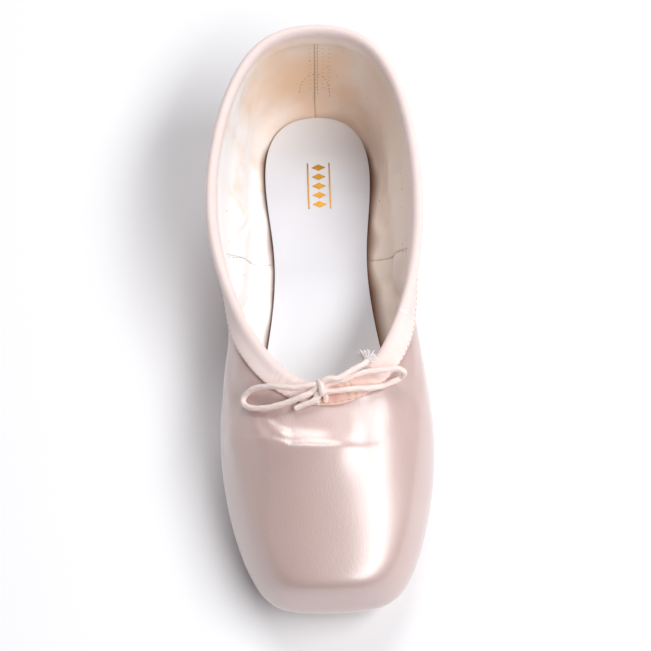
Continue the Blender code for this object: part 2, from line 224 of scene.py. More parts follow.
def smooth_line(points, step, closed=False):
    """Even points on a smooth curve through some points."""
    points = np.array(points, float)
    if closed:
        padded = np.concatenate([points[-1:], points, points[:2]])
    else:
        padded = np.concatenate([2 * points[:1] - points[1:2], points, 2 * points[-1:] - points[-2:-1]])
    dense = []
    for before, start, end, after in zip(padded, padded[1:], padded[2:], padded[3:]):
        for share in np.linspace(0, 1, 16, endpoint=False):
            bend = (2 * before - 5 * start + 4 * end - after) * share ** 2
            twist = (3 * start - before - 3 * end + after) * share ** 3
            dense.append((2 * start + (end - before) * share + bend + twist) / 2)
    dense = np.array(dense + [padded[-2]])
    steps = steps_along(dense)
    marks = np.linspace(0, steps[-1], max(2, round(steps[-1] / step)) + 1)
    return places_at(dense, steps, marks)


def line_length(line):
    """The length of a line through points."""
    return float(np.linalg.norm(np.diff(line, axis=0), axis=1).sum())


def nearest_on(line, points):
    """How far along a line each point lies, and how far from it."""
    tree = kdtree.KDTree(len(line))
    for index, point in enumerate(line):
        tree.insert(point, index)
    tree.balance()
    steps = steps_along(line)
    found = [tree.find(point) for point in points]
    return steps[[item[1] for item in found]], np.array([item[2] for item in found])


def rise(share):
    """Rise from 0 to 1 with level ends."""
    share = np.clip(share, 0.0, 1.0)
    return share * share * (3.0 - 2.0 * share)


def rim_loops(piece):
    """The open rims of a sheet as closed lines, the lowest first."""
    mesh = bmesh.new()
    mesh.from_mesh(piece.data)
    left = {edge for edge in mesh.edges if edge.is_boundary}
    loops = []
    while left:
        edge = min(left, key=lambda item: item.index)
        left.remove(edge)
        vertex = edge.verts[1]
        line = [edge.verts[0].co.copy(), vertex.co.copy()]
        ahead = [item for item in vertex.link_edges if item in left]
        while ahead:
            left.remove(ahead[0])
            vertex = ahead[0].other_vert(vertex)
            line.append(vertex.co.copy())
            ahead = [item for item in vertex.link_edges if item in left]
        loops.append(np.array(line))
    mesh.free()
    return sorted(loops, key=lambda line: line[:, 2].mean())


# %% [markdown]
# A finish starts from what the real material is. Its colours are written as they look on a screen, so
# one function turns them to the linear values that a shader reads. One more adds a node with its
# settings and links, which keeps each material short enough to read. A pattern's scale is one over its
# size in metres, so a cloud 22 mm across has a scale of 45.

# %% Small tools for materials
def linear(hex_colour):
    """A screen colour as linear red, green, blue and alpha."""
    shares = [int(hex_colour[start:start + 2], 16) / 255 for start in (1, 3, 5)]
    return tuple(s / 12.92 if s <= 0.04045 else ((s + 0.055) / 1.055) ** 2.4 for s in shares) + (1.0,)


def add_node(material, kind, inputs=(), **settings):
    """Add a node with its settings, and fill or link its inputs. A node stands for its first output."""
    node = material.node_tree.nodes.new(kind)
    for name, value in settings.items():
        setattr(node, name, value)
    for key, value in dict(inputs).items():
        if isinstance(value, bpy.types.Node):
            value = value.outputs[0]
        if isinstance(value, bpy.types.NodeSocket):
            material.node_tree.links.new(value, node.inputs[key])
        else:
            node.inputs[key].default_value = value
    return node


def new_material(name, **sockets):
    """A material with its Principled shader set. A socket's spaces are written as underlines."""
    material = bpy.data.materials.new(name)
    material.use_nodes = True
    shader = material.node_tree.nodes["Principled BSDF"]
    for socket, value in sockets.items():
        shader.inputs[socket.replace("_", " ")].default_value = value
    return material


def finished(material, colour=None, bump=None):
    """Lead the last colour node and the bump node, where there is one, to the material's shader."""
    shader = material.node_tree.nodes["Principled BSDF"]
    for node, socket in ((colour, "Base Color"), (bump, "Normal")):
        if node:
            material.node_tree.links.new(node.outputs[0], shader.inputs[socket])
    print(material.name, "has", len(material.node_tree.nodes), "nodes")
    return material


# %% [markdown]
# The photograph looks down at 64.5 degrees with the toe towards the viewer. A long lens from 0.8 m keeps
# the heel nearly as large as the toe. The camera is turned a little, because the shoe stands askew.

# %% Set up the camera
CAMERA_TARGET = Vector((0.0027, -0.0024, 0.025))
CAMERA_DISTANCE = 0.800
CAMERA_ELEVATION = math.radians(64.5)
CAMERA_TURN = math.radians(-1.9)
CAMERA_LENS = 110.0


def set_camera():
    """Place the camera on its line of sight to the target."""
    tilt = (math.pi / 2 - CAMERA_ELEVATION, 0.0, CAMERA_TURN)
    bpy.ops.object.camera_add(rotation=tilt)
    camera = bpy.context.object
    back = camera.rotation_euler.to_matrix() @ Vector((0.0, 0.0, 1.0))
    camera.location = CAMERA_TARGET + back * CAMERA_DISTANCE
    camera.data.lens = CAMERA_LENS
    bpy.context.scene.camera = camera
    print("Camera at", [round(value, 3) for value in camera.location])


set_camera()

# %% [markdown]
# The drawstring is one soft braided cotton cord, 2.1 mm thick. It comes out of the binding below the
# knot, and its two strands make a bow: each goes through the knot into a loop, comes back through the
# knot and ends on the other side. The braid is real relief, because light catches on it in the photograph:
# two families of strands wind round the tube in opposite directions.

# %% Route the two strands of the bow
CORD_DIAMETER = 0.0021
KNOT = np.array((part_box("bow_knot")[0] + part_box("bow_knot")[1]) / 2)

LEFT_LOOP = (
    (-0.0029, 0.0011, 0.0004), (-0.0099, 0.0007, -0.0009), (-0.0169, 0.0024, -0.0029),
    (-0.0224, 0.0037, -0.0062), (-0.0262, 0.0040, -0.0091), (-0.0288, 0.0029, -0.0119),
    (-0.0296, 0.0010, -0.0129), (-0.0286, -0.0013, -0.0123), (-0.0253, -0.0034, -0.0101),
    (-0.0204, -0.0045, -0.0074), (-0.0160, -0.0045, -0.0052), (-0.0111, -0.0039, -0.0031),
    (-0.0068, -0.0029, -0.0011), (-0.0029, -0.0014, -0.0006),
)
RIGHT_LOOP = (
    (0.0028, -0.0015, -0.0006), (0.0083, -0.0010, -0.0006), (0.0137, -0.0002, -0.0015),
    (0.0192, 0.0005, -0.0031), (0.0236, 0.0022, -0.0054), (0.0276, 0.0046, -0.0077),
    (0.0310, 0.0067, -0.0091), (0.0328, 0.0077, -0.0066), (0.0322, 0.0078, -0.0043),
    (0.0299, 0.0080, -0.0023), (0.0248, 0.0070, -0.0011), (0.0193, 0.0062, -0.0002),
    (0.0140, 0.0048, 0.0003), (0.0099, 0.0029, 0.0005), (0.0028, 0.0009, 0.0002),
)
LEFT_END = ((-0.0010, -0.0034, -0.0013), (-0.0031, -0.0048, -0.0021), (-0.0069, -0.0056, -0.0034),
            (-0.0101, -0.0067, -0.0045))
RIGHT_END = (
    (0.0022, 0.0020, 0.0027), (0.0074, 0.0025, 0.0030), (0.0119, 0.0055, 0.0023),
    (0.0157, 0.0080, 0.0013), (0.0179, 0.0096, 0.0005), (0.0187, 0.0116, 0.0001),
)
# How each strand comes up from the casing's mouth into the knot
FROM_MOUTH_LEFT = ((0.0016, -0.0047, -0.0039), (0.0022, -0.0032, -0.0026), (0.0019, -0.0012, -0.0012),
                   (0.0009, 0.0005, -0.0001), (-0.0010, 0.0011, 0.0003))
FROM_MOUTH_RIGHT = ((-0.0009, -0.0049, -0.0037), (-0.0016, -0.0039, -0.0026), (-0.0016, -0.0026, -0.0015),
                    (-0.0004, -0.0017, -0.0008), (0.0012, -0.0016, -0.0006))
STRAND_STEP = CORD_DIAMETER / 12


def strand(*routes):
    """Even points along a strand of the drawstring."""
    return smooth_line(np.concatenate(routes) + KNOT, STRAND_STEP)


left_strand = strand(FROM_MOUTH_LEFT, LEFT_LOOP, RIGHT_END)
right_strand = strand(FROM_MOUTH_RIGHT, RIGHT_LOOP, LEFT_END)
print("Strands in mm:", round(line_length(left_strand) / MM, 1), round(line_length(right_strand) / MM, 1))

# %% Braid the cord
BRAID_PITCH = 0.0058
BRAID_STRANDS = 4
BRAID_RELIEF = 0.08
CORD_FUZZ = 0.00010
CORD_SIDES = 24


def side_directions(line):
    """Two directions across a line at each point, carried along it without twist."""
    ahead = np.gradient(line, axis=0)
    ahead /= np.linalg.norm(ahead, axis=1)[:, None]
    side = np.cross(ahead[0], (0.0, 0.0, 1.0))
    sides = []
    for direction in ahead:
        side = side - direction * (side @ direction)
        side = side / np.linalg.norm(side)
        sides.append(side)
    sides = np.array(sides)
    return sides, np.cross(ahead, sides)


def tube(name, line, radii):
    """A tube along a line, from one radius for each point round each ring, with a map in metres."""
    across, up = side_directions(line)
    steps = steps_along(line)
    sides = radii.shape[1]
    turn = np.arange(sides) * 2 * math.pi / sides
    rings = (line[:, None] + across[:, None] * (np.cos(turn) * radii)[..., None]
             + up[:, None] * (np.sin(turn) * radii)[..., None])
    faces = [(row * sides + side, row * sides + (side + 1) % sides,
              (row + 1) * sides + (side + 1) % sides, (row + 1) * sides + side)
             for row in range(len(line) - 1) for side in range(sides)]
    count = rings.size // 3
    faces += [tuple(range(sides))[::-1], tuple(range(count - sides, count))]
    mesh = bpy.data.meshes.new(name)
    mesh.from_pydata(rings.reshape(-1, 3).tolist(), [], faces)
    uv = mesh.uv_layers.new(name="UVMap")
    for face in mesh.polygons:
        seam = len(face.vertices) == 4 and face.index % sides == sides - 1
        for loop, vertex in zip(face.loop_indices, face.vertices):
            row, side = divmod(vertex, sides)
            round_share = (side + sides * (seam and side == 0)) / sides
            uv.data[loop].uv = (steps[row], round_share * CORD_DIAMETER * math.pi)
    piece = bpy.data.objects.new(name, mesh)
    bpy.context.collection.objects.link(piece)
    only(piece)
    bpy.ops.object.shade_smooth()
    return piece


def braided_cord(name, line, diameter):
    """A tube with a braid's relief: two families of strands wind round it in opposite directions."""
    steps = steps_along(line)
    turn = np.arange(CORD_SIDES) * 2 * math.pi / CORD_SIDES
    wind = steps[:, None] * 2 * math.pi / BRAID_PITCH
    weave = np.maximum(np.cos(BRAID_STRANDS * turn + wind), np.cos(BRAID_STRANDS * turn - wind))
    radii = (diameter / 2 + CORD_FUZZ) * (1 + BRAID_RELIEF * (weave - 0.75))
    to_end = np.minimum(steps, steps[-1] - steps)[:, None]
    return tube(name, line, radii * np.sqrt(np.clip(to_end / (diameter * 0.35) + 0.12, 0.0, 1.0)))


cord_left = braided_cord("bow_cord_left", left_strand, CORD_DIAMETER)
cord_right = braided_cord("bow_cord_right", right_strand, CORD_DIAMETER)

# %% [markdown]
# The knot is one turn of the same cord, pulled tight round the strands. Its turn is a short closed helix,
# so the same braiding function makes it. The right end was cut long ago and has frayed to a white tuft:
# a couple of hundred short threads that spread and curl as they leave the cord.

# %% Tie the knot and fray the end
# The turn's reach along the shoe and up, how far it leans, and how far it climbs with each radian
WRAP_REACH = (0.0024, 0.0021)
WRAP_LEAN = 0.0012
WRAP_CLIMB = 0.00035
TUFT_THREADS = 220
TUFT_LENGTH = 0.0034
THREAD_RADIUS = (0.00022, 0.00034)
THREAD_SIDES = 5
THREAD_ROWS = 7
THREAD_ROOT = 0.0009
# A thread's length as a share of the longest, and its curl across and over the cord as a share of its own
THREAD_LENGTHS = (0.45, 1.0)
THREAD_CURL_ACROSS = (-0.7, 0.7)
THREAD_CURL_OVER = (-0.4, 0.6)
chance = random.Random(11)


def wrap_line():
    """A turn round the strands, leaning to the right as it comes over the top."""
    turn = np.linspace(-0.62 * math.pi, 1.62 * math.pi, 60)
    reach = 1 - 0.35 * rise((np.abs(turn - math.pi / 2) - 0.75 * math.pi) / (0.4 * math.pi))
    return KNOT + np.column_stack([
        WRAP_LEAN * np.cos(turn - math.pi / 2) * 0.4 + WRAP_CLIMB * (turn - math.pi / 2),
        np.cos(turn) * WRAP_REACH[0] * reach - 0.0002,
        np.sin(turn) * WRAP_REACH[1] * reach + 0.0001,
    ])


def tuft(name, line):
    """Thin threads that spread from the end of a strand."""
    tip = line[-1]
    ahead = (tip - line[-8]) / np.linalg.norm(tip - line[-8])
    across = np.cross(ahead, (0.0, 0.0, 1.0))
    across /= np.linalg.norm(across)
    over = np.cross(across, ahead)
    share = np.linspace(0, 1, THREAD_ROWS)[:, None]
    threads = []
    for _ in range(TUFT_THREADS):
        start = chance.uniform(0, 2 * math.pi)
        spread = math.sqrt(chance.random())
        out = (across * math.cos(start) + over * math.sin(start)) * spread
        length = TUFT_LENGTH * chance.uniform(*THREAD_LENGTHS)
        curl = across * chance.uniform(*THREAD_CURL_ACROSS) + over * chance.uniform(*THREAD_CURL_OVER)
        thick = chance.uniform(*THREAD_RADIUS)
        root = tip - ahead * THREAD_ROOT + out * CORD_DIAMETER * 0.46
        route = root + ahead * length * share * (1.15 - 0.45 * spread) + out * length * share
        route = route + curl * length * 0.5 * share ** 2
        radii = np.repeat(thick * (1 - 0.45 * share ** 3), THREAD_SIDES, axis=1)
        threads.append(tube(name, route, radii))
    return joined(threads)


knot_wrap = braided_cord("bow_knot_wrap", wrap_line(), CORD_DIAMETER)
frayed_end = tuft("bow_frayed_end", left_strand)
print("The tuft has", TUFT_THREADS, "threads of up to", TUFT_LENGTH / MM, "mm")

# %% [markdown]
# Each piece of the drawstring now rides on the shoe in place of the solids it stands for.

# %% Settle the drawstring
settle(cord_left, "bow_loop_left", "bow_end_right", slot="cord")
settle(cord_right, "bow_loop_right", "bow_end_left", slot="cord")
settle(knot_wrap, "bow_knot", slot="cord")
settle(frayed_end, slot="cord")

# %% [markdown]
# The cord is matte cotton, dyed the same pink as the binding, with paler and darker tones in fine grains.
# To the eye it has no shine, only the soft bright edge of its fuzz, which is what sheen is for. Where it
# frays, the dye has not gone through, so the tuft is nearly white. A fibre is far too fine to show, so
# the fuzz is drawn with grains of 0.4 mm.

# %% Material: braided cotton cord
def braided_cotton(name, colour, shade):
    """Matte braided cotton."""
    material = new_material(name, Roughness=0.85, Sheen_Weight=0.35, Sheen_Roughness=0.5,
                            Specular_IOR_Level=0.3)
    place = add_node(material, "ShaderNodeTexCoord")
    fuzz = add_node(material, "ShaderNodeTexNoise", {"Vector": place.outputs["Object"], "Scale": 2600.0})
    tone = add_node(material, "ShaderNodeMixRGB", {"Fac": fuzz.outputs["Fac"], "Color1": linear(shade),
                                                   "Color2": linear(colour)})
    bump = add_node(material, "ShaderNodeBump", {"Height": fuzz.outputs["Fac"], "Strength": 0.5,
                                                 "Distance": 0.0001})
    return finished(material, tone, bump)


cord_cotton = braided_cotton("cord_braided_cotton", "#fae9e3", "#f2dad3")
raw_cotton = braided_cotton("cord_raw_cotton", "#fbf6f4", "#efe4e2")
for piece in (cord_left, cord_right, knot_wrap):
    piece.data.materials.append(cord_cotton)
frayed_end.data.materials.append(raw_cotton)

# %% [markdown]
# The upper's solid is one wall. On the real shoe it is two cloths with paste between them: satin outside,
# canvas inside. The copy is split into these two sheets, which meet under the binding and under the
# insole. A face belongs to the satin where it looks away from a line through the middle of the shoe.
# Satin that is stretched over a box bridges its corners in a round curve. So the points round the box's
# edges are moved to the average of their neighbours again and again, as a stretched sheet would settle.

# %% Split the upper into satin and lining
SPINE_HEIGHT = 0.020
SPINE_INSET = 0.035
CLOTH_LEVELS = 3
# Where the folds below the throat need a finer mesh
FINE_ABOVE = 0.038
FINE_FROM = -0.068
FINE_TO = -0.040
FINE_CENTRE = -0.006
FINE_HALF = 0.027
# Where the edges of the box relax, and over what height and length this sets in
RELAX_ROUNDS = 100
RELAX_SHARE = 0.5
RELAX_ABOVE = 0.014
RELAX_RISE = 0.010
RELAX_START = -0.045
RELAX_RUN = 0.020


def away_from_spine(point):
    """The direction from the middle line of the shoe's inside to a point."""
    along = min(max(point.y, TOE + SPINE_INSET), HEEL - SPINE_INSET)
    return point - Vector((MIDDLE, along, SPINE_HEIGHT))


def round_box(piece):
    """Let the box's edges relax to the round form that the stretched satin gives them."""
    ends = np.empty(len(piece.data.edges) * 2, dtype=np.int64)
    piece.data.edges.foreach_get("vertices", ends)
    points = points_of(piece)[0]
    first, second = ends.reshape(-1, 2).T
    count = np.bincount(ends, minlength=len(points))[:, None]
    share = rise((points[:, 2] - RELAX_ABOVE) / RELAX_RISE) * rise((RELAX_START - points[:, 1]) / RELAX_RUN)
    share *= RELAX_SHARE
    for _ in range(RELAX_ROUNDS):
        total = np.zeros_like(points)
        np.add.at(total, first, points[second])
        np.add.at(total, second, points[first])
        points += share[:, None] * (total / count - points)
    move_points(piece, points)


satin = cad_copy("upper", "satin_upper")
select_faces(satin, lambda centre, normal: normal.dot(away_from_spine(centre)) < 0)
before = set(bpy.data.objects)
bpy.ops.mesh.separate(type="SELECTED")
leave_edit()
lining = (set(bpy.data.objects) - before).pop()
lining.name = "canvas_lining"
lining.data.name = "canvas_lining"
subdivided(satin, CLOTH_LEVELS)
round_box(satin)
select_faces(satin, lambda centre, normal: centre.z > FINE_ABOVE and FINE_FROM < centre.y < FINE_TO
             and normal.z > 0.5 and abs(centre.x - FINE_CENTRE) < FINE_HALF)
bpy.ops.mesh.subdivide(number_cuts=1, smoothness=1.0)
leave_edit()
subdivided(lining, CLOTH_LEVELS)
feather_line, collar_line = rim_loops(satin)
collar_fine = smooth_line(collar_line[:-1], MM / 4, closed=True)
collar_steps = steps_along(collar_fine)
print("Collar in mm:", round(line_length(collar_line) / MM), "feather line in mm:",
      round(line_length(feather_line) / MM))

# %% [markdown]
# Creases are placed one by one, each as a short route in the shoe's own sizes with a width and a depth. A
# trough has soft ridges beside it, because cloth that is pushed in somewhere has to come out next to it.

# %% Place the creases of the satin
# Each crease: its route in mm, the half width of its trough in mm, and its depth in mm, below 0 for a ridge
VAMP_CREASES = (
    (((-25.5, -39.0, 42.8), (-22.2, -46.0, 43.8), (-19.5, -52.4, 44.6), (-16.5, -58.5, 45.0)), 3.4, 0.75),
    (((-17.0, -47.0, 47.0), (-12.0, -53.5, 47.0), (-3.0, -56.0, 47.5), (6.0, -56.5, 47.0)), 3.6, 0.60),
    (((-24.0, -47.0, 43.8), (-20.6, -52.2, 44.6), (-15.5, -57.5, 45.0), (-11.0, -60.5, 45.5)), 1.5, -0.35),
    (((7.5, -44.5, 47.4), (10.0, -53.1, 46.9), (11.0, -63.0, 45.8)), 3.6, -0.22),
    (((-33.2, -9.1, 39.2), (-30.9, -15.8, 40.5), (-28.9, -23.5, 41.5), (-28.0, -31.0, 41.0)), 2.4, 0.50),
    (((-36.9, -21.0, 30.6), (-35.3, -29.9, 33.8), (-32.9, -36.1, 36.1), (-30.0, -43.8, 38.0)), 3.4, 0.65),
    (((-39.0, -30.0, 27.0), (-36.8, -40.0, 31.0), (-34.0, -50.0, 34.0)), 3.6, 0.45),
    (((37.4, -5.8, 37.2), (35.1, -14.5, 39.2), (32.5, -25.2, 40.3), (29.0, -33.0, 42.0)), 2.8, 0.50),
    (((27.0, -35.0, 42.5), (30.5, -43.0, 39.5), (33.0, -52.0, 36.0)), 3.6, 0.35),
)
SIDE_CREASES = (
    (((-38.5, 4.0, 30.0), (-36.5, 12.0, 25.0), (-34.0, 22.0, 17.0)), 2.8, 0.75),
    (((-36.0, 30.0, 28.0), (-34.5, 20.0, 22.0), (-35.0, 8.0, 14.0)), 3.2, 0.65),
    (((-39.0, 48.0, 36.0), (-36.0, 42.0, 26.0), (-33.5, 34.0, 15.0)), 3.0, 0.60),
    (((40.5, 2.0, 30.0), (38.5, 12.0, 24.0), (36.5, 20.0, 15.0)), 2.8, 0.75),
    (((38.5, 34.0, 30.0), (36.5, 24.0, 22.0), (37.5, 8.0, 13.0)), 3.4, 0.65),
    (((41.0, 52.0, 38.0), (38.5, 46.0, 27.0), (36.0, 38.0, 14.0)), 2.8, 0.60),
    (((-31.0, 92.0, 26.0), (-27.0, 101.0, 24.0), (-20.0, 109.5, 24.0)), 3.2, 0.45),
    (((33.0, 94.0, 22.0), (29.0, 103.0, 21.0), (22.0, 110.5, 21.0)), 3.2, 0.45),
)
# The share of a crease's length over which each end runs out, and the height of the ridges beside it
END_SHARE = 0.3
SHOULDER_SHARE = 0.4


def crease_shift(points, creases, surface):
    """How far each point moves along its normal for a table of creases."""
    shift = np.zeros(len(points))
    for route, width, depth in creases:
        line = smooth_line(np.array(route) * MM, MM / 2)
        line = np.array([surface.find_nearest(point)[0] for point in line])
        along, away = nearest_on(line, points)
        along /= line_length(line)
        fade = rise(along / END_SHARE) * rise((1 - along) / END_SHARE)
        away /= width * MM
        trough = np.exp(-away ** 2) - SHOULDER_SHARE * np.exp(-(away - 2.0) ** 2)
        shift -= trough * fade * depth * MM
    return shift


print("Creases on the satin:", len(VAMP_CREASES + SIDE_CREASES))

# %% [markdown]
# The stiff box ends across the vamp. Its edge shows through the satin as a low step, followed across the
# foot from listed points. It is sharp at the left and in the middle and soft at the right. From the
# throat's side the cloth is drawn up to it in a long gentle ramp, which tilts it to the light, and painted
# light makes the band on the ramp lighter too.

# %% Shape the edge of the stiff box
# Across the shoe and along it, on the upper rim of the step. All the sizes of this cell are in mm
BOX_EDGE = ((-40.0, -50.0), (-32.0, -55.0), (-25.0, -57.5), (-18.8, -59.0), (-15.1, -61.0), (-12.0, -62.7),
            (-1.4, -63.7), (9.2, -63.9), (14.5, -64.0), (20.7, -62.7), (26.2, -61.0), (33.4, -58.0),
            (42.0, -53.0))
# The step's height and width, and how far it takes to sink back towards the toe
BOX_STEP = 0.85
BOX_STEP_WIDTH = 2.2
BOX_FADE = 26.0
# It turns soft from the middle to the right, and faint at the far left: from, to, the share that is left
BOX_SOFT = (0.0, 20.0, 0.22)
BOX_FAINT = (-20.0, -27.0, 0.3)
# Down the sides it sets in from this height, over so much more
BOX_FROM_HEIGHT = 24.0
BOX_RISE = 10.0
# The ramp's height, length and fall past the step, and its end at the right with the run-out there
BOX_RAMP = 1.15
BOX_RAMP_LENGTH = 16.0
BOX_RAMP_FALL = 9.0
BOX_RAMP_END = 17.0
BOX_RAMP_RUN_OUT = 13.0
# The band of painted light just above the step: its length before the step, its left and right ends and its
# lowest height
PAINTED_LIGHT_LENGTH = 20.0
PAINTED_LIGHT_FROM = -24.0
PAINTED_LIGHT_TO = 13.0
PAINTED_LIGHT_FROM_HEIGHT = 30.0


def weaker(points, start, end, share):
    """One before a place across the shoe, in mm, falling to a share past the second place."""
    return 1 - (1 - share) * rise((points[:, 0] / MM - start) / (end - start))


def box_edge_shift(points):
    """The step where the stiff box ends, fading out towards the toe and down the sides."""
    across, along = np.array(BOX_EDGE).T
    past = np.interp(points[:, 0] / MM, across, along) - points[:, 1] / MM
    fade = np.exp(-np.clip(past / BOX_FADE, 0, None) ** 2)
    upper = rise((points[:, 2] / MM - BOX_FROM_HEIGHT) / BOX_RISE)
    step = rise(past / BOX_STEP_WIDTH + 1) * weaker(points, *BOX_SOFT) * weaker(points, *BOX_FAINT)
    ramp = rise(past / BOX_RAMP_LENGTH + 1) * np.exp(-np.clip(past / BOX_RAMP_FALL, 0, None) ** 2)
    ramp *= rise((BOX_RAMP_END - points[:, 0] / MM) / BOX_RAMP_RUN_OUT)
    return MM * upper * (BOX_STEP * fade * step + BOX_RAMP * ramp)


def painted_light_value(points):
    """Painted light: how much lighter the satin is painted just above the step."""
    across, along = np.array(BOX_EDGE).T
    before = points[:, 1] / MM - np.interp(points[:, 0] / MM, across, along)
    band = rise(before / 4) * rise((PAINTED_LIGHT_LENGTH - before) / 6)
    band *= rise((points[:, 2] / MM - PAINTED_LIGHT_FROM_HEIGHT) / 8)
    return band * rise((points[:, 0] / MM - PAINTED_LIGHT_FROM) / 8) * rise((PAINTED_LIGHT_TO - points[:, 0] / MM) / 6)


# %% [markdown]
# Under the toe the satin has to go round a curve, and its fullness is laid in pleats round the sole's
# edge. They are deepest at the sole, so their depth is measured from the sole's solid, and they run out
# on the wall. A saw tooth with one soft side looks like a fold that lies over to one side, as pleats do.

# %% Lay the pleats under the toe and the heel
PLEAT_PITCH = 0.0064
PLEAT_DEPTH = 0.0011
PLEAT_REACH = 0.0130
PLEAT_TOP = 0.0135
# Each pleat rises over this share of its pitch and falls over the rest
PLEAT_RISE = 0.22
# Where they set in at the toe and at the heel, and the share of their depth that the heel's have
PLEAT_TOE_START = -0.045
PLEAT_HEEL_START = 0.082
PLEAT_HEEL_SHARE = 0.5


def pleat_shift(points):
    """How far the pleats stand in or out at each point."""
    line = smooth_line(feather_line[:-1], MM / 4, closed=True)
    along = nearest_on(line, points)[0]
    sole = surface_of(frame["nodes"]["outsole"])
    away = np.array([sole.find_nearest(point)[3] for point in points])
    jitter = np.array([noise.noise(Vector((mark * 60, 3.0, 0.0))) for mark in along])
    phase = (along / PLEAT_PITCH + 0.5 * jitter) % 1.0
    falling = 1 - rise((phase - PLEAT_RISE) / (1 - PLEAT_RISE))
    fold = np.where(phase < PLEAT_RISE, rise(phase / PLEAT_RISE), falling) - 0.5
    near = rise(1 - away / PLEAT_REACH) * rise((PLEAT_TOP - points[:, 2]) / 0.004)
    toe = rise((PLEAT_TOE_START - points[:, 1]) / 0.018)
    heel = PLEAT_HEEL_SHARE * rise((points[:, 1] - PLEAT_HEEL_START) / 0.015)
    return fold * near * np.maximum(toe, heel) * PLEAT_DEPTH


# %% [markdown]
# Satin on a shoe is never quite even. A slow noise of a tenth of a millimetre makes the long highlight
# waver the way it does in the photograph. It is four times as high where no stiff box backs the cloth.

# %% Shape the satin
WAVE_LENGTH = 0.016
WAVE_HEIGHT = 0.00010
SOFT_WAVE_HEIGHT = 0.00040
# Close to the collar nothing moves, so that the sheets stay under the binding
HELD_AT_COLLAR = 0.004


def wave_shift(points):
    """Slow unevenness, stronger where no stiff box backs the cloth."""
    soft = rise((points[:, 1] + 0.060) / 0.030)
    waves = np.array([noise.noise(Vector(point) / WAVE_LENGTH) for point in points])
    return waves * (WAVE_HEIGHT + (SOFT_WAVE_HEIGHT - WAVE_HEIGHT) * soft)


points, normals = points_of(satin)
shift = (crease_shift(points, VAMP_CREASES + SIDE_CREASES, surface_of(satin)) + box_edge_shift(points)
         + pleat_shift(points) + wave_shift(points))
free = rise((nearest_on(collar_fine, points)[1] - HELD_AT_COLLAR) / 0.005)
move_points(satin, points + normals * (shift * free)[:, None])
# Painted light: the band just above the step is painted lighter
write_value(satin, "painted_light", painted_light_value(points))
print("Satin moves from", round(shift.min() / MM, 2), "to", round(shift.max() / MM, 2), "mm")

# %% [markdown]
# Seams are pressed in along planes: a cut puts new edges exactly where a seam runs, and the middle one is
# moved in. The quarters meet at the back of the heel, and the vamp meets them at both sides.

# %% Press the seams
SEAM_WIDTH = 0.0009
SEAM_DEPTH = 0.00035


def press_seam(piece, point, across, rule):
    """Cut a piece along three close planes and move the middle cut in."""
    across = Vector(across).normalized()
    point = Vector(point)
    for offset in (-SEAM_WIDTH / 2, 0.0, SEAM_WIDTH / 2):
        select_faces(piece, lambda centre, normal: rule(centre) and abs((centre - point).dot(across)) < 0.006)
        bpy.ops.mesh.bisect(plane_co=point + across * offset, plane_no=across)
        leave_edit()
    points, normals = points_of(piece)
    near = np.abs((points - np.array(point)) @ np.array(across)) < SEAM_WIDTH / 8
    near &= np.array([rule(Vector(place)) for place in points])
    move_points(piece, points - normals * near[:, None] * SEAM_DEPTH)
    old = piece.data.attributes.get("seam")
    value = np.zeros(len(points), dtype=np.float32)
    if old:
        old.data.foreach_get("value", value)
    write_value(piece, "seam", np.maximum(value, near))


BACK_SEAM = ((MIDDLE, HEEL, 0.03), (1.0, 0.0, 0.0), lambda centre: centre.y > 0.085)
# The side seams lean: they start at the collar and run back and down to the sole
SEAM_LEFT = ((-0.0312, 0.0289, 0.0267), (0.0, 0.97, 0.28), lambda centre: centre.x < -0.010)
SEAM_RIGHT = ((0.0353, 0.0289, 0.0287), (0.0, 0.97, 0.28), lambda centre: centre.x > 0.014)
for seam in (BACK_SEAM, SEAM_LEFT, SEAM_RIGHT):
    press_seam(satin, *seam)
    press_seam(lining, *seam)
print("Seams are", SEAM_WIDTH / MM, "mm wide and", SEAM_DEPTH / MM, "mm deep")

# %% [markdown]
# Patterns on cloth should follow the cloth, so each sheet gets a map in metres: one way round the collar,
# the other way down from it.

# %% Map the sheets
def map_from_collar(piece):
    """A UV map in metres along the collar and down from it."""
    whole = line_length(collar_fine)
    along, away = nearest_on(collar_fine, points_of(piece)[0])
    mesh = piece.data
    uv = mesh.uv_layers.get("UVMap") or mesh.uv_layers.new(name="UVMap")
    for face in mesh.polygons:
        marks = [along[vertex] for vertex in face.vertices]
        wraps = max(marks) - min(marks) > whole / 2
        for loop, vertex, mark in zip(face.loop_indices, face.vertices, marks):
            uv.data[loop].uv = (mark + whole if wraps and mark < whole / 2 else mark, away[vertex])


map_from_collar(satin)
map_from_collar(lining)
print("The maps run", round(collar_steps[-1], 3), "m round the collar")

# %% [markdown]
# Satin floats long threads over the weave, so it is smooth one way. To the eye it is pale pink with a
# broad soft gloss, and a band of painted light makes it lighter just above the box's step. The dye is
# faintly uneven, in clouds of 22 mm. The grain of the weave is a tenth of a millimetre, too fine to show in
# the picture, so it is drawn at 0.7 mm and longer lengthwise, where it roughens the highlight's edge.

# %% Material: pink cotton-backed satin
SATIN_GRAIN = 0.0007
SATIN_FLOAT = 0.4


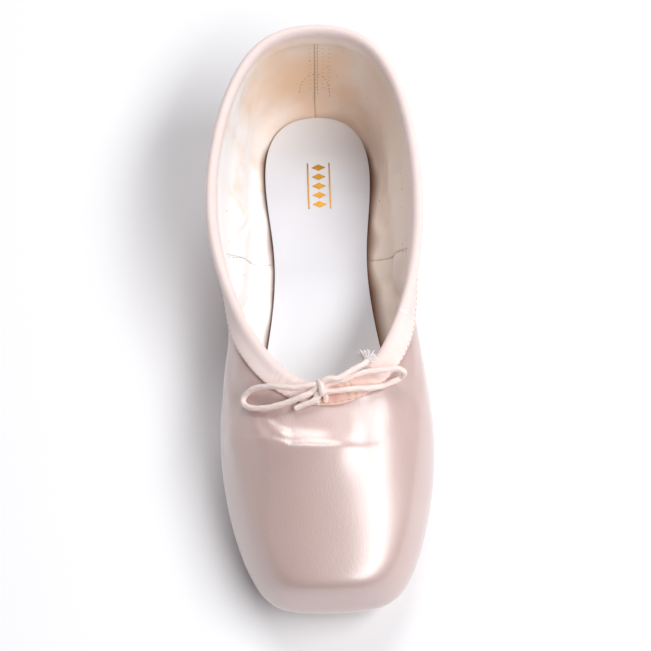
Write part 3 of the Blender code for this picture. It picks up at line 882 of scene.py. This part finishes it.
def pink_satin():
    """Cotton-backed satin."""
    material = new_material("satin_pink_cotton_backed", Roughness=0.48, Specular_IOR_Level=1.0, IOR=1.6,
                            Sheen_Weight=1.0, Sheen_Roughness=0.30, Coat_Weight=1.0, Coat_IOR=1.75,
                            Coat_Roughness=0.29)
    place = add_node(material, "ShaderNodeTexCoord")
    cloud = add_node(material, "ShaderNodeTexNoise", {"Vector": place.outputs["Object"], "Scale": 45.0})
    tone = add_node(material, "ShaderNodeMixRGB", {"Fac": cloud.outputs["Fac"], "Color1": linear("#c5a7a1"),
                                                   "Color2": linear("#cdb0aa")})
    # Painted light: a lighter pink on the band just above the step
    painted_light = add_node(material, "ShaderNodeAttribute", attribute_name="painted_light")
    colour = add_node(material, "ShaderNodeMixRGB", {"Fac": painted_light.outputs["Fac"], "Color1": tone,
                                                     "Color2": linear("#dfc1bb")})
    floats = add_node(material, "ShaderNodeMapping", {"Vector": place.outputs["Object"],
                                                      "Scale": (1.0, SATIN_FLOAT, 1.0)})
    grain = add_node(material, "ShaderNodeTexNoise", {"Vector": floats, "Scale": 1 / SATIN_GRAIN,
                                                      "Detail": 3.0})
    bump = add_node(material, "ShaderNodeBump", {"Height": grain.outputs["Fac"], "Strength": 0.55,
                                                 "Distance": 0.00016})
    return finished(material, colour, bump)


satin.data.materials.clear()
satin.data.materials.append(pink_satin())
settle(satin, "upper", slot="satin")

# %% [markdown]
# The lining is cream cotton canvas, creased where the foot and the paste have pulled it. It is only held
# at the collar and the seams, so it stands off the wall in soft folds and leaves a gap beside the insole.

# %% Shape the lining
# Each crease as on the satin: its route, half width and depth in mm, seen from inside the shoe
LINING_CREASES = (
    (((-34.5, 33.0, 31.0), (-28.6, 46.1, 21.2), (-24.6, 57.9, 8.0)), 1.2, 0.95),
    (((-30.6, 10.1, 17.4), (-25.3, 18.1, 11.3), (-20.5, 22.3, 9.9)), 1.2, 0.95),
    (((-37.0, 55.0, 33.0), (-33.5, 60.0, 22.0), (-27.0, 62.0, 10.0)), 3.0, 0.35),
    (((-35.0, 8.0, 36.0), (-31.0, 14.0, 24.0), (-25.0, 16.0, 12.0)), 3.0, -0.35),
    (((-33.0, 40.0, 24.0), (-30.0, 48.0, 14.0), (-25.0, 52.0, 7.0)), 3.2, -0.45),
    (((30.5, 84.0, 14.0), (29.0, 74.0, 11.0), (27.5, 64.0, 8.0)), 1.8, 1.10),
    (((28.0, 62.0, 8.0), (27.0, 54.0, 9.0), (29.0, 46.0, 12.0)), 2.2, 0.80),
    (((34.0, 76.0, 24.0), (32.5, 64.0, 18.0), (30.0, 56.0, 13.0)), 4.0, -0.90),
    (((27.0, 28.0, 12.0), (29.0, 20.0, 14.0), (31.0, 10.0, 18.0)), 3.0, 0.80),
    (((35.0, 30.0, 26.0), (33.0, 22.0, 19.0), (31.0, 14.0, 13.0)), 3.4, -0.60),
    (((38.0, 62.0, 36.0), (35.5, 66.0, 26.0), (33.0, 68.0, 18.0)), 2.6, 0.35),
    (((-16.0, 108.0, 36.0), (-18.0, 103.0, 24.0), (-19.0, 97.0, 12.0)), 2.2, 0.30),
)
# The most that the canvas moves towards the wall and into the shoe
LINING_OUT_MOST = 0.0011
LINING_IN_MOST = 0.0022
points, normals = points_of(lining)
shift = crease_shift(points, LINING_CREASES, surface_of(lining))
free = rise((nearest_on(collar_fine, points)[1] - HELD_AT_COLLAR) / 0.006)
shift = np.clip(shift, -LINING_OUT_MOST, LINING_IN_MOST) * free
move_points(lining, points + normals * shift[:, None])
print("Lining moves from", round(shift.min() / MM, 2), "to", round(shift.max() / MM, 2), "mm")

# %% [markdown]
# Two things darken the canvas's colour, and both are kept as numbers on its points: painted shade with
# some brown paste in the gap beside the insole, and the seams. The painted gap shade is wider on the right
# and uneven everywhere. The canvas is also kept a millimetre clear of the board, so that the two never touch.

# %% Paint the shade in the gap beside the insole
# How far up the wall the painted shade in the gap reaches, how it wavers and how much is left at the heel
GAP_SHADE_REACH_LEFT = 0.0026
GAP_SHADE_REACH_RIGHT = 0.0044
GAP_SHADE_WAVE = 0.014
GAP_SHADE_UNEVEN = 0.9
GAP_SHADE_HEEL_SHARE = 0.3
BOARD_ROOM = 0.0010
board = surface_of(frame["nodes"]["insole"])


def from_board(points):
    """Each point's distance from the insole's board."""
    return np.array([board.find_nearest(point)[3] for point in points])


def gap_shade_value(points):
    """Painted shade with some paste: one beside the insole, falling unevenly to nothing a few millimetres up
    the wall.
    """
    uneven = np.array([noise.noise(Vector(point) / GAP_SHADE_WAVE) for point in points])
    reach = np.where(points[:, 0] > MIDDLE, GAP_SHADE_REACH_RIGHT, GAP_SHADE_REACH_LEFT) * (1 + GAP_SHADE_UNEVEN * uneven)
    heel = rise((points[:, 1] - (HEEL - 0.032)) / 0.012)
    return rise(1 - from_board(points) / np.maximum(reach, MM / 5)) * (1 - heel * (1 - GAP_SHADE_HEEL_SHARE))


points, normals = points_of(lining)
room = np.clip(BOARD_ROOM - from_board(points), 0, None)
move_points(lining, points - normals * room[:, None])
# Painted shade with some brown paste, in the gap beside the insole
write_value(lining, "gap", gap_shade_value(points))
print("Points of the lining that the board moves:", int((room > 0).sum()))

# %% [markdown]
# The canvas is cream and matte, warmer at the heel where paste has soaked in, warmer on the right wall
# with painted shade, and brown in the gap with painted shade and some paste. Each is a thin layer of colour
# over the last, with a share that says where it lies: the stain by its distance from the heel, broken up by
# a cloud, the painted right-wall shade by its place across the shoe, and a few specks from a cell pattern. A
# plain weave has threads half a millimetre apart, which just shows in the picture as a fine grid.

# %% Material: cream cotton canvas
CANVAS_THREAD = 0.0005
# A band texture of scale 1 has a band every 0.314 m
BAND = 0.314
# The paste stain: its middle, then where it starts and ends to fall and its shares there, at the heel by
# distance. The painted warm shade on the right wall has the same four numbers by place across the shoe
STAIN_CENTRE = (MIDDLE - 0.006, HEEL, 0.026)
STAIN_HEEL = (0.004, 0.025, 0.9, 0.0)
RIGHT_WALL_WARM_SHADE = (MIDDLE, MIDDLE + 0.022, 0.0, 0.42)
SEAM_SHADE = (0.2, 0.9, 0.0, 0.6)
SPECK_CELL = 0.0065
SPECK_RADIUS = 0.00022
SPECK_EDGE = (SPECK_RADIUS / SPECK_CELL, SPECK_RADIUS / SPECK_CELL * 1.6, 0.7, 0.0)


def span(value, start, end, low, high):
    """What a Map Range node is given, to move a value from one range to another."""
    return {"Value": value, "From Min": start, "From Max": end, "To Min": low, "To Max": high}


def cream_canvas():
    """Cotton canvas, stained by paste at the heel, with painted warm shade on the right wall, painted shade
    in the gap and a few dark specks.
    """
    material = new_material("lining_cream_cotton_canvas", Roughness=0.8, Specular_IOR_Level=0.3,
                            Sheen_Weight=0.2, Sheen_Roughness=0.6)
    place = add_node(material, "ShaderNodeTexCoord")
    here = place.outputs["Object"]
    cloud = add_node(material, "ShaderNodeTexNoise", {"Vector": here, "Scale": 60.0, "Detail": 4.0})
    colour = add_node(material, "ShaderNodeMixRGB", {"Fac": cloud.outputs["Fac"], "Color1": linear("#f8f3f1"),
                                                     "Color2": linear("#fdfbfb")})
    reach = add_node(material, "ShaderNodeVectorMath", {0: here, 1: STAIN_CENTRE}, operation="DISTANCE")
    patchy = add_node(material, "ShaderNodeMath", {0: reach.outputs["Value"], 1: cloud.outputs["Fac"]},
                      operation="MULTIPLY")
    heel = add_node(material, "ShaderNodeMapRange", span(patchy, *STAIN_HEEL))
    across = add_node(material, "ShaderNodeSeparateXYZ", {"Vector": here}).outputs["X"]
    # Painted warm shade on the right wall, by place across the shoe
    right = add_node(material, "ShaderNodeMapRange", span(across, *RIGHT_WALL_WARM_SHADE))
    # The paste stain or the painted right-wall shade, whichever is stronger
    stain_and_right_shade = add_node(material, "ShaderNodeMath", {0: heel, 1: right}, operation="MAXIMUM")
    # Painted shade with some brown paste in the gap beside the insole
    gap = add_node(material, "ShaderNodeAttribute", attribute_name="gap").outputs["Fac"]
    pressed = add_node(material, "ShaderNodeAttribute", attribute_name="seam").outputs["Fac"]
    seam = add_node(material, "ShaderNodeMapRange", span(pressed, *SEAM_SHADE))
    cells = add_node(material, "ShaderNodeTexVoronoi", {"Vector": here, "Scale": 1 / SPECK_CELL})
    speck = add_node(material, "ShaderNodeMapRange", span(cells.outputs["Distance"], *SPECK_EDGE))
    for share, tint in ((stain_and_right_shade, "#efc8a2"), (gap, "#7c4c30"), (seam, "#8a705b"), (speck, "#5b4538")):
        colour = add_node(material, "ShaderNodeMixRGB", {"Fac": share, "Color1": colour,
                                                         "Color2": linear(tint)})
    thread = {"Vector": place.outputs["UV"], "Scale": BAND / CANVAS_THREAD}
    warp = add_node(material, "ShaderNodeTexWave", thread, bands_direction="X")
    weft = add_node(material, "ShaderNodeTexWave", thread, bands_direction="Y")
    weave = add_node(material, "ShaderNodeMath", {0: warp.outputs["Fac"], 1: weft.outputs["Fac"]},
                     operation="MULTIPLY")
    bump = add_node(material, "ShaderNodeBump", {"Height": weave, "Strength": 0.3, "Distance": 0.0001})
    return finished(material, colour, bump)


lining.data.materials.clear()
lining.data.materials.append(cream_canvas())
settle(lining, "upper", slot="satin")

# %% [markdown]
# The binding is a twill tape folded over the collar. Near the throat the drawstring gathers it, most of
# all to the right of the knot, so its face is puckered there in folds across the tape.

# %% Shape the binding
PUCKER_PITCH = 0.0036
PUCKER_HEIGHT = 0.00042
TAPE_WIDTH = 0.0068
TAPE_UNEVEN = 0.00006
# A point of the tape that lies this far out of the collar is on its outer side
OUTER_SIDE = 0.0008
binding = subdivided(cad_copy("collar_binding", "collar_binding_tape"), CLOTH_LEVELS)


def gather_strength(points):
    """How strongly the drawstring gathers the tape at each point."""
    to_right = points[:, 0] - KNOT[0]
    strength = np.where(to_right > 0, rise(1 - to_right / 0.036), 0.5 * rise(1 + to_right / 0.024))
    return strength * rise((-0.012 - points[:, 1]) / 0.012)


def pucker_shift(points):
    """Gathers across the tape, strongest beside the knot on the right."""
    along, away = nearest_on(collar_fine, points)
    strength = gather_strength(points)
    jitter = np.array([noise.noise(Vector((mark * 140, 7.0, 0.0))) for mark in along])
    folds = np.cos(2 * math.pi * (along / PUCKER_PITCH + 0.8 * jitter))
    across = np.sin(np.clip(away / TAPE_WIDTH, 0, 1) * math.pi) ** 0.7
    return folds * strength * across * PUCKER_HEIGHT


def tape_sides(piece):
    """Each point's mark along the collar, distance from it, place outwards of it and way of facing."""
    points, normals = points_of(piece)
    marks, away = nearest_on(collar_fine, points)
    foot = places_at(collar_fine, collar_steps, marks)
    out = np.array([away_from_spine(Vector(point)).normalized() for point in points])
    return marks, away, ((points - foot) * out).sum(1), (normals * out).sum(1)


points, normals = points_of(binding)
marks, away, depth, facing = tape_sides(binding)
uneven = np.array([noise.noise(Vector(point) / 0.006) for point in points]) * TAPE_UNEVEN
shift = (pucker_shift(points) + uneven) * (facing > 0) * (depth > OUTER_SIDE)
move_points(binding, points + normals * shift[:, None])
map_from_collar(binding)
print("Binding moves from", round(shift.min() / MM, 2), "to", round(shift.max() / MM, 2), "mm")

# %% [markdown]
# Twill shows as fine ribs at a slant, on a soft pale pink, with painted shade that makes it warmer and
# deeper where the drawstring gathers it. The ribs are 0.5 mm apart on a real tape and are drawn at 0.62 mm,
# so that they show at all in the picture. Inside the shoe the tape is turned under, and the canvas shows past
# its edge.

# %% Material: twill tape
TWILL_RIB = 0.00062


def twill_tape():
    """Pink cotton twill."""
    material = new_material("binding_cotton_twill", Roughness=0.75, Specular_IOR_Level=0.35,
                            Sheen_Weight=0.4, Sheen_Roughness=0.45)
    place = add_node(material, "ShaderNodeTexCoord")
    slant = add_node(material, "ShaderNodeMapping", {"Vector": place.outputs["UV"],
                                                     "Rotation": (0.0, 0.0, math.radians(35))})
    ribs = add_node(material, "ShaderNodeTexWave", {"Vector": slant, "Scale": BAND / TWILL_RIB,
                                                    "Distortion": 0.4}, bands_direction="X")
    cloud = add_node(material, "ShaderNodeTexNoise", {"Vector": place.outputs["Object"], "Scale": 220.0})
    tone = add_node(material, "ShaderNodeMixRGB", {"Fac": ribs.outputs["Fac"], "Color1": linear("#f0d9d4"),
                                                   "Color2": linear("#f9e9e6")})
    # Painted shade: a warmer, deeper pink where the drawstring gathers the tape
    gather_shade = add_node(material, "ShaderNodeAttribute", attribute_name="gather_shade")
    warm = add_node(material, "ShaderNodeMixRGB", {"Fac": gather_shade.outputs["Fac"], "Color1": tone,
                                                   "Color2": linear("#e9b7a4")})
    blot = {"Fac": 0.25, "Color1": warm, "Color2": cloud.outputs["Color"]}
    mottle = add_node(material, "ShaderNodeMixRGB", blot, blend_type="SOFT_LIGHT")
    bump = add_node(material, "ShaderNodeBump", {"Height": ribs.outputs["Fac"], "Strength": 0.35,
                                                 "Distance": 0.00010})
    return finished(material, mottle, bump)


# How strongly painted shade warms and deepens the gathers at most, and how far left of the knot it reaches
GATHER_SHADE_MOST = 0.8
GATHER_SHADE_LEFT = 0.004
gather_shade_share = GATHER_SHADE_MOST * gather_strength(points) * (points[:, 0] > KNOT[0] - GATHER_SHADE_LEFT)
write_value(binding, "gather_shade", gather_shade_share)
binding.data.materials.append(twill_tape())
binding.data.materials.append(lining.data.materials[0])
# The width of the turned-under tape that shows inside, at the left and at the right
FLAP_LEFT = 0.0022
FLAP_RIGHT = 0.0042
for face in binding.data.polygons:
    vertex = face.vertices[0]
    side = float(rise((face.center.x - MIDDLE) / 0.050 + 0.5))
    flap = FLAP_LEFT + (FLAP_RIGHT - FLAP_LEFT) * side
    if facing[vertex] < 0.3 and depth[vertex] < 0 and away[vertex] > flap and face.center.y > -0.030:
        face.material_index = 1
settle(binding, "collar_binding", slot="tape")

# %% [markdown]
# A stitch is a short rounded bar of thread, sunk a little at both ends. One is modelled from a sphere and
# copied along a line, each copy turned to the line and to the cloth under it.

# %% Tools for stitches
STITCH_THREAD = 0.00042
STITCH_SINK = 0.45


def one_stitch(length, thickness):
    """One stitch along X, its ends bent down."""
    bpy.ops.object.select_all(action="DESELECT")
    bpy.ops.mesh.primitive_uv_sphere_add(segments=8, ring_count=5, radius=0.5, rotation=(0, math.pi / 2, 0))
    bpy.ops.object.transform_apply(location=False, rotation=True, scale=False)
    stitch = bpy.context.object
    points = points_of(stitch)[0] * (length, thickness, thickness)
    points[:, 2] -= (2 * points[:, 0] / length) ** 2 * thickness * STITCH_SINK
    move_points(stitch, points)
    bpy.ops.object.shade_smooth()
    return stitch


def stitch_row(name, line, surface, length, gap, thickness=STITCH_THREAD):
    """Copies of one stitch along a line, each laid on a surface."""
    stitch = one_stitch(length, thickness)
    steps = steps_along(line)
    count = int(steps[-1] / (length + gap))
    row = []
    for mark in (np.arange(count) + 0.5) * steps[-1] / count:
        ends = places_at(line, steps, (mark - length / 2, mark + length / 2))
        start, end = Vector(ends[0]), Vector(ends[1])
        middle, up, _, _ = surface.find_nearest((start + end) / 2)
        ahead = end - start
        ahead = (ahead - up * ahead.dot(up)).normalized()
        turn = Matrix((ahead, up.cross(ahead), up)).transposed().to_4x4()
        twin = bpy.data.objects.new(name, stitch.data.copy())
        twin.data.transform(Matrix.Translation(middle) @ turn)
        bpy.context.collection.objects.link(twin)
        row.append(twin)
    bpy.data.objects.remove(stitch)
    print(name, "has", count, "stitches")
    return joined(row)


def tape_row(distance):
    """A closed line on the outer side of the tape, at a distance from the collar."""
    marks, away, depth, facing = tape_sides(binding)
    points = points_of(binding)[0]
    shown = np.flatnonzero((facing > 0) & (depth > OUTER_SIDE))
    tree = kdtree.KDTree(len(shown))
    for index in shown:
        tree.insert((marks[index], away[index], 0.0), int(index))
    tree.balance()
    row_marks = np.arange(0, collar_steps[-1], 0.0012)
    row = np.array([points[tree.find((mark, distance, 0.0))[1]] for mark in row_marks])
    row = sum(np.roll(row, shift, axis=0) for shift in range(-3, 4)) / 7
    return smooth_line(row, MM / 2, closed=True)


# %% [markdown]
# One row of lockstitch holds the binding down all round, close to its edge. The thread is twisted cotton:
# matte, a little darker than the tape, with a broken outline from its twist, drawn with grains of 0.6 mm.

# %% Stitch the binding
def sewing_thread(name, colour):
    """Twisted cotton thread."""
    material = new_material(name, Base_Color=linear(colour), Roughness=0.6, Specular_IOR_Level=0.4,
                            Sheen_Weight=0.2)
    place = add_node(material, "ShaderNodeTexCoord")
    twist = add_node(material, "ShaderNodeTexNoise", {"Vector": place.outputs["Object"], "Scale": 1800.0})
    bump = add_node(material, "ShaderNodeBump", {"Height": twist.outputs["Fac"], "Strength": 0.4,
                                                 "Distance": 0.00008})
    return finished(material, bump=bump)


pink_thread = sewing_thread("thread_pink_cotton", "#dcb0a2")
pale_thread = sewing_thread("thread_beige_cotton", "#d3b89e")
brown_thread = sewing_thread("thread_brown_cotton", "#b0937a")
BINDING_ROW = 0.0070
binding_row = stitch_row("binding_stitches", tape_row(BINDING_ROW), surface_of(binding),
                         length=0.0019, gap=0.0008)
binding_row.data.materials.append(pink_thread)
settle(binding_row, slot="tape")

# %% [markdown]
# Inside, the lining shows its own sewing: a row beside the back seam, an arc across it that holds the
# heel, a row down each side seam, and short pale rows across the tape that covers the back seam.

# %% Stitch the lining
# The places of each row in mm, those at the heel from the middle of the sole and the heel's end
BACK_ROW = [(1.3, -3.0, height) for height in np.linspace(50, 10, 9)]
HEEL_ARC = ((-6.6, 115.0, 12.4), (-5.9, 115.3, 17.4), (-4.6, 115.6, 22.0), (-2.2, 116.0, 25.2),
            (0.6, 116.2, 25.9), (3.2, 116.2, 24.4), (5.3, 116.1, 20.5), (6.3, 115.8, 14.0), (6.4, 114.7, 9.0))
LEFT_ROW = ((-36.4, 24.4, 38.1), (-31.2, 28.4, 26.7), (-26.6, 33.6, 12.6))
RIGHT_ROW = ((38.5, 22.4, 42.1), (35.3, 28.2, 28.7), (31.1, 33.0, 14.4))
TAPE_ROWS = [((-3.0, -4.0, height), (0.0, -3.0, height), (7.5, -4.0, height))
             for height in np.linspace(15, 46, 11)]
lining_surface = surface_of(lining)


def lining_row(name, route, start, thread):
    """Stitch a row on the lining, through some places in mm from a start in metres."""
    line = smooth_line(np.array(route) * MM + start, MM / 2)
    row = stitch_row(name, line, lining_surface, length=0.0018, gap=0.0005, thickness=0.00034)
    row.data.materials.append(thread)
    settle(row, slot="satin")


lining_row("lining_back_stitches", BACK_ROW, (MIDDLE, HEEL, 0.0), brown_thread)
lining_row("lining_heel_stitches", HEEL_ARC, (MIDDLE, 0.0, 0.0), brown_thread)
lining_row("lining_left_stitches", LEFT_ROW, (0.0, 0.0, 0.0), brown_thread)
lining_row("lining_right_stitches", RIGHT_ROW, (0.0, 0.0, 0.0), brown_thread)
for tape_route in TAPE_ROWS:
    lining_row("lining_tape_stitches", tape_route, (MIDDLE, HEEL, 0.0), pale_thread)

# %% [markdown]
# The insole is a thin board faced with white cloth. Its rims are creased before it is subdivided, so they
# stay crisp while its outline turns smooth. Its face is a little uneven, as board is that has been damp.
# To the eye it is a cool matte white in faint clouds of 29 mm, with painted light that makes it whiter at
# the toe and the heel than in the middle. The cloth's fibres are drawn at 0.7 mm, because real ones would not
# show.

# %% Shape the insole
BOARD_RIM = 0.85
BOARD_WAVE = 0.022
BOARD_WAVE_HEIGHT = 0.00016
# Along the shoe, where painted light turns the board whiter at the toe and at the heel, and how much
BOARD_PAINTED_LIGHT_TOE = (0.030, -0.030, 0.0, 1.0)
BOARD_PAINTED_LIGHT_HEEL = (0.070, 0.105, 0.0, 0.7)
insole = cad_copy("insole", "insole_board", grid=0.0)
crease_rims(insole, BOARD_RIM)
subdivided(insole, CLOTH_LEVELS, fit_rounds=0)
points, normals = points_of(insole)
waves = np.array([noise.noise(Vector((point[0], point[1], 0.0)) / BOARD_WAVE) for point in points])
points[:, 2] += waves * (normals[:, 2] > 0.5) * BOARD_WAVE_HEIGHT
move_points(insole, points)


def white_board():
    """Board faced with brushed white cloth."""
    material = new_material("insole_white_faced_board", Roughness=0.7, Specular_IOR_Level=0.3,
                            Sheen_Weight=0.15, Sheen_Roughness=0.6)
    here = add_node(material, "ShaderNodeTexCoord").outputs["Object"]
    cloud = add_node(material, "ShaderNodeTexNoise", {"Vector": here, "Scale": 35.0, "Detail": 4.0})
    tone = add_node(material, "ShaderNodeMixRGB", {"Fac": cloud.outputs["Fac"], "Color1": linear("#d3d3d9"),
                                                   "Color2": linear("#dedee3")})
    along = add_node(material, "ShaderNodeSeparateXYZ", {"Vector": here}).outputs["Y"]
    toe = add_node(material, "ShaderNodeMapRange", span(along, *BOARD_PAINTED_LIGHT_TOE))
    heel = add_node(material, "ShaderNodeMapRange", span(along, *BOARD_PAINTED_LIGHT_HEEL))
    # Painted light: the board is painted whiter at the toe and the heel
    board_painted_light = add_node(material, "ShaderNodeMath", {0: toe, 1: heel}, operation="ADD")
    colour = add_node(material, "ShaderNodeMixRGB", {"Fac": board_painted_light, "Color1": tone,
                                                     "Color2": linear("#fbfbfd")})
    fibre = add_node(material, "ShaderNodeTexNoise", {"Vector": here, "Scale": 1400.0})
    bump = add_node(material, "ShaderNodeBump", {"Height": fibre.outputs["Fac"], "Strength": 0.2,
                                                 "Distance": 0.00008})
    return finished(material, colour, bump)


insole.data.materials.append(white_board())
settle(insole, "insole", slot="insole_white")

# %% [markdown]
# A small gold-foil ornament is stamped on the insole: five lozenges in a row between two thin rules. Foil
# has almost no height, so each shape is a flat prism laid on the board. To the eye it is a warm metal,
# dark where it mirrors nothing bright, and duller in spots of a millimetre where it has worn.

# %% Stamp the ornament
ORNAMENT_CENTRE = (0.0024, 0.0723)
ORNAMENT_LENGTH = 0.0225
ORNAMENT_WIDTH = 0.0100
FOIL_THICKNESS = 0.00008
LOZENGES = 5
# Half a lozenge as a share of the ornament's width and of the lozenges' pitch
LOZENGE_HALF = (0.30, 0.36)
# The rules' distance from the middle as a share of the width, and half their thickness
RULE_SHARE = 0.46
RULE_HALF = 0.0003
insole_surface = surface_of(insole)


def foil_shape(name, outline):
    """A flat prism of foil over an outline in plan, laid on the insole."""
    bpy.ops.object.select_all(action="DESELECT")
    bpy.ops.mesh.primitive_circle_add(vertices=len(outline), fill_type="NGON")
    foil = bpy.context.object
    foil.name = name
    for vertex, (px, py) in zip(foil.data.vertices, outline):
        ground = insole_surface.ray_cast(Vector((px, py, 0.05)), Vector((0, 0, -1)))[0]
        vertex.co = (px, py, ground.z + FOIL_THICKNESS / 2)
    bpy.ops.object.mode_set(mode="EDIT")
    bpy.ops.mesh.select_all(action="SELECT")
    bpy.ops.mesh.normals_make_consistent(inside=False)
    bpy.ops.mesh.extrude_region_move(TRANSFORM_OT_translate={"value": (0, 0, FOIL_THICKNESS)})
    bpy.ops.mesh.select_all(action="SELECT")
    bpy.ops.mesh.normals_make_consistent(inside=False)
    leave_edit()
    return foil


def ornament_outlines():
    """Outlines of the ornament's shapes in plan: a row of lozenges and two rules."""
    x, y = ORNAMENT_CENTRE
    outlines = []
    pitch = ORNAMENT_LENGTH / LOZENGES
    across = ORNAMENT_WIDTH * LOZENGE_HALF[0]
    length = pitch * LOZENGE_HALF[1]
    for index in range(LOZENGES):
        along = y + (index - (LOZENGES - 1) / 2) * pitch
        outlines.append([(x - across, along), (x, along - length), (x + across, along), (x, along + length)])
    half = ORNAMENT_LENGTH / 2
    for side in (-1, 1):
        rule = x + side * ORNAMENT_WIDTH * RULE_SHARE
        outlines.append([(rule - RULE_HALF, y - half), (rule + RULE_HALF, y - half),
                         (rule + RULE_HALF, y + half), (rule - RULE_HALF, y + half)])
    return outlines


ornament = joined([foil_shape("foil", outline) for outline in ornament_outlines()])
ornament.name = "insole_foil_ornament"


def gold_foil():
    """Stamped gold foil, a little worn."""
    material = new_material("ornament_gold_foil", Metallic=0.9, Roughness=0.38)
    place = add_node(material, "ShaderNodeTexCoord")
    wear = add_node(material, "ShaderNodeTexNoise", {"Vector": place.outputs["Object"], "Scale": 900.0})
    tone = add_node(material, "ShaderNodeMixRGB", {"Fac": wear.outputs["Fac"], "Color1": linear("#80591a"),
                                                   "Color2": linear("#aa7e2f")})
    return finished(material, tone)


ornament.data.materials.append(gold_foil())
settle(ornament, slot="insole_white")

# %% [markdown]
# The sole is one thin piece of pale buffed leather. A channel is cut round it near the edge, and the
# stitches that hold the sole lie in it. The underside's faces are extruded in place three times, and each
# time their rim is moved inwards: to the channel, down its first wall and up its second. To the eye the
# leather is matte and sandy, clouded over 14 mm by the hide, with a nap that is drawn at 0.7 mm.

# %% Shape the outsole
CHANNEL_INSET = 0.0038
CHANNEL_WIDTH = 0.0007
CHANNEL_DEPTH = 0.0007
SOLE_RIM = 0.75
SOLE_LEVELS = 2
# A face whose normal points this far down belongs to the underside
FACES_DOWN = -0.8
outsole = cad_copy("outsole", "outsole_leather", grid=0.0)
crease_rims(outsole, SOLE_RIM)


def underside_rim(piece):
    """The underside's rim: its places, and for each the direction in plan that leads inwards."""
    points, normals = points_of(piece)
    under = [face for face in piece.data.polygons if face.normal.z < FACES_DOWN]
    rim = sorted({index for face in under for index in face.vertices})
    inwards = -normals[rim] * (1, 1, 0)
    return points[rim], inwards / np.linalg.norm(inwards, axis=1)[:, None]


def move_rim(piece, places, inwards, amount, lift):
    """Extrude the underside in place, and move its new rim inwards and up."""
    select_faces(piece, lambda centre, normal: normal.z < FACES_DOWN)
    bpy.ops.mesh.extrude_region_move()
    leave_edit()
    moved = places + inwards * amount + (0, 0, lift)
    for vertex in piece.data.vertices:
        if vertex.select:
            vertex.co = moved[np.linalg.norm(places - np.array(vertex.co), axis=1).argmin()]
    return moved


rim_places, rim_inwards = underside_rim(outsole)
channel_start = move_rim(outsole, rim_places, rim_inwards, CHANNEL_INSET, 0.0)
channel = move_rim(outsole, channel_start, rim_inwards, CHANNEL_WIDTH, CHANNEL_DEPTH)
move_rim(outsole, channel, rim_inwards, CHANNEL_WIDTH, -CHANNEL_DEPTH)
subdivided(outsole, SOLE_LEVELS, fit_rounds=0)
round_sole = np.argsort(np.arctan2(channel[:, 1], channel[:, 0] - MIDDLE))
channel_line = smooth_line(channel[round_sole], MM / 2, closed=True)
sole_row = stitch_row("outsole_stitches", channel_line, surface_of(outsole),
                      length=0.0030, gap=0.0011, thickness=0.0006)


def sole_leather():
    """Buffed vegetable-tanned leather with a fine nap."""
    material = new_material("outsole_buffed_leather", Roughness=0.82, Specular_IOR_Level=0.3,
                            Sheen_Weight=0.15, Sheen_Roughness=0.6)
    here = add_node(material, "ShaderNodeTexCoord").outputs["Object"]
    cloud = add_node(material, "ShaderNodeTexNoise", {"Vector": here, "Scale": 70.0, "Detail": 5.0})
    tone = add_node(material, "ShaderNodeMixRGB", {"Fac": cloud.outputs["Fac"], "Color1": linear("#c7a482"),
                                                   "Color2": linear("#ddbf9e")})
    nap = add_node(material, "ShaderNodeTexNoise", {"Vector": here, "Scale": 1500.0, "Detail": 4.0})
    bump = add_node(material, "ShaderNodeBump", {"Height": nap.outputs["Fac"], "Strength": 0.4,
                                                 "Distance": 0.00012})
    return finished(material, tone, bump)


outsole.data.materials.append(sole_leather())
settle(outsole, "outsole", slot="sole_leather")
sole_row.data.materials.append(brown_thread)
settle(sole_row, slot="sole_leather")

# %% [markdown]
# The shoe stands on a plain sheet of matte white paper. A long softbox at the right makes the bright band
# down the vamp, and one behind lights the lining and the top. A dim low one at the left keeps that side
# from going dark, and the white floor lights the sides from below.

# %% Set the floor and the lights
def add_softbox(name, place, size, power, target=(0.0, -0.01, 0.02)):
    """An area light that faces the shoe."""
    bpy.ops.object.light_add(type="AREA", location=place)
    lamp = bpy.context.object
    lamp.name = name
    lamp.data.shape = "RECTANGLE"
    lamp.data.size, lamp.data.size_y = size
    lamp.data.energy = power
    lamp.rotation_euler = (Vector(place) - Vector(target)).to_track_quat("Z", "Y").to_euler()
    print(name, "is", size[0], "m long and gives", power, "W")


bpy.ops.mesh.primitive_plane_add(size=6.0)
floor = bpy.context.object
floor.name = "floor"
floor.data.materials.append(new_material("floor_white_paper", Base_Color=linear("#fafafc"), Roughness=0.9,
                                         Specular_IOR_Level=0.1))
add_softbox("softbox_right", (0.665, -0.30, 1.030), (1.5, 0.38), 15.0)
add_softbox("softbox_left", (-1.05, 0.05, 0.20), (1.8, 0.40), 1.4)
add_softbox("softbox_back", (-0.02, 0.86, 1.20), (0.9, 0.45), 9.0)

world = bpy.context.scene.world or bpy.data.worlds.new("studio")
bpy.context.scene.world = world
world.use_nodes = True
sky = world.node_tree.nodes["Background"].inputs
sky["Color"].default_value = linear("#f4f4f8")
sky["Strength"].default_value = 0.165
bpy.context.scene.view_settings.view_transform = "Standard"
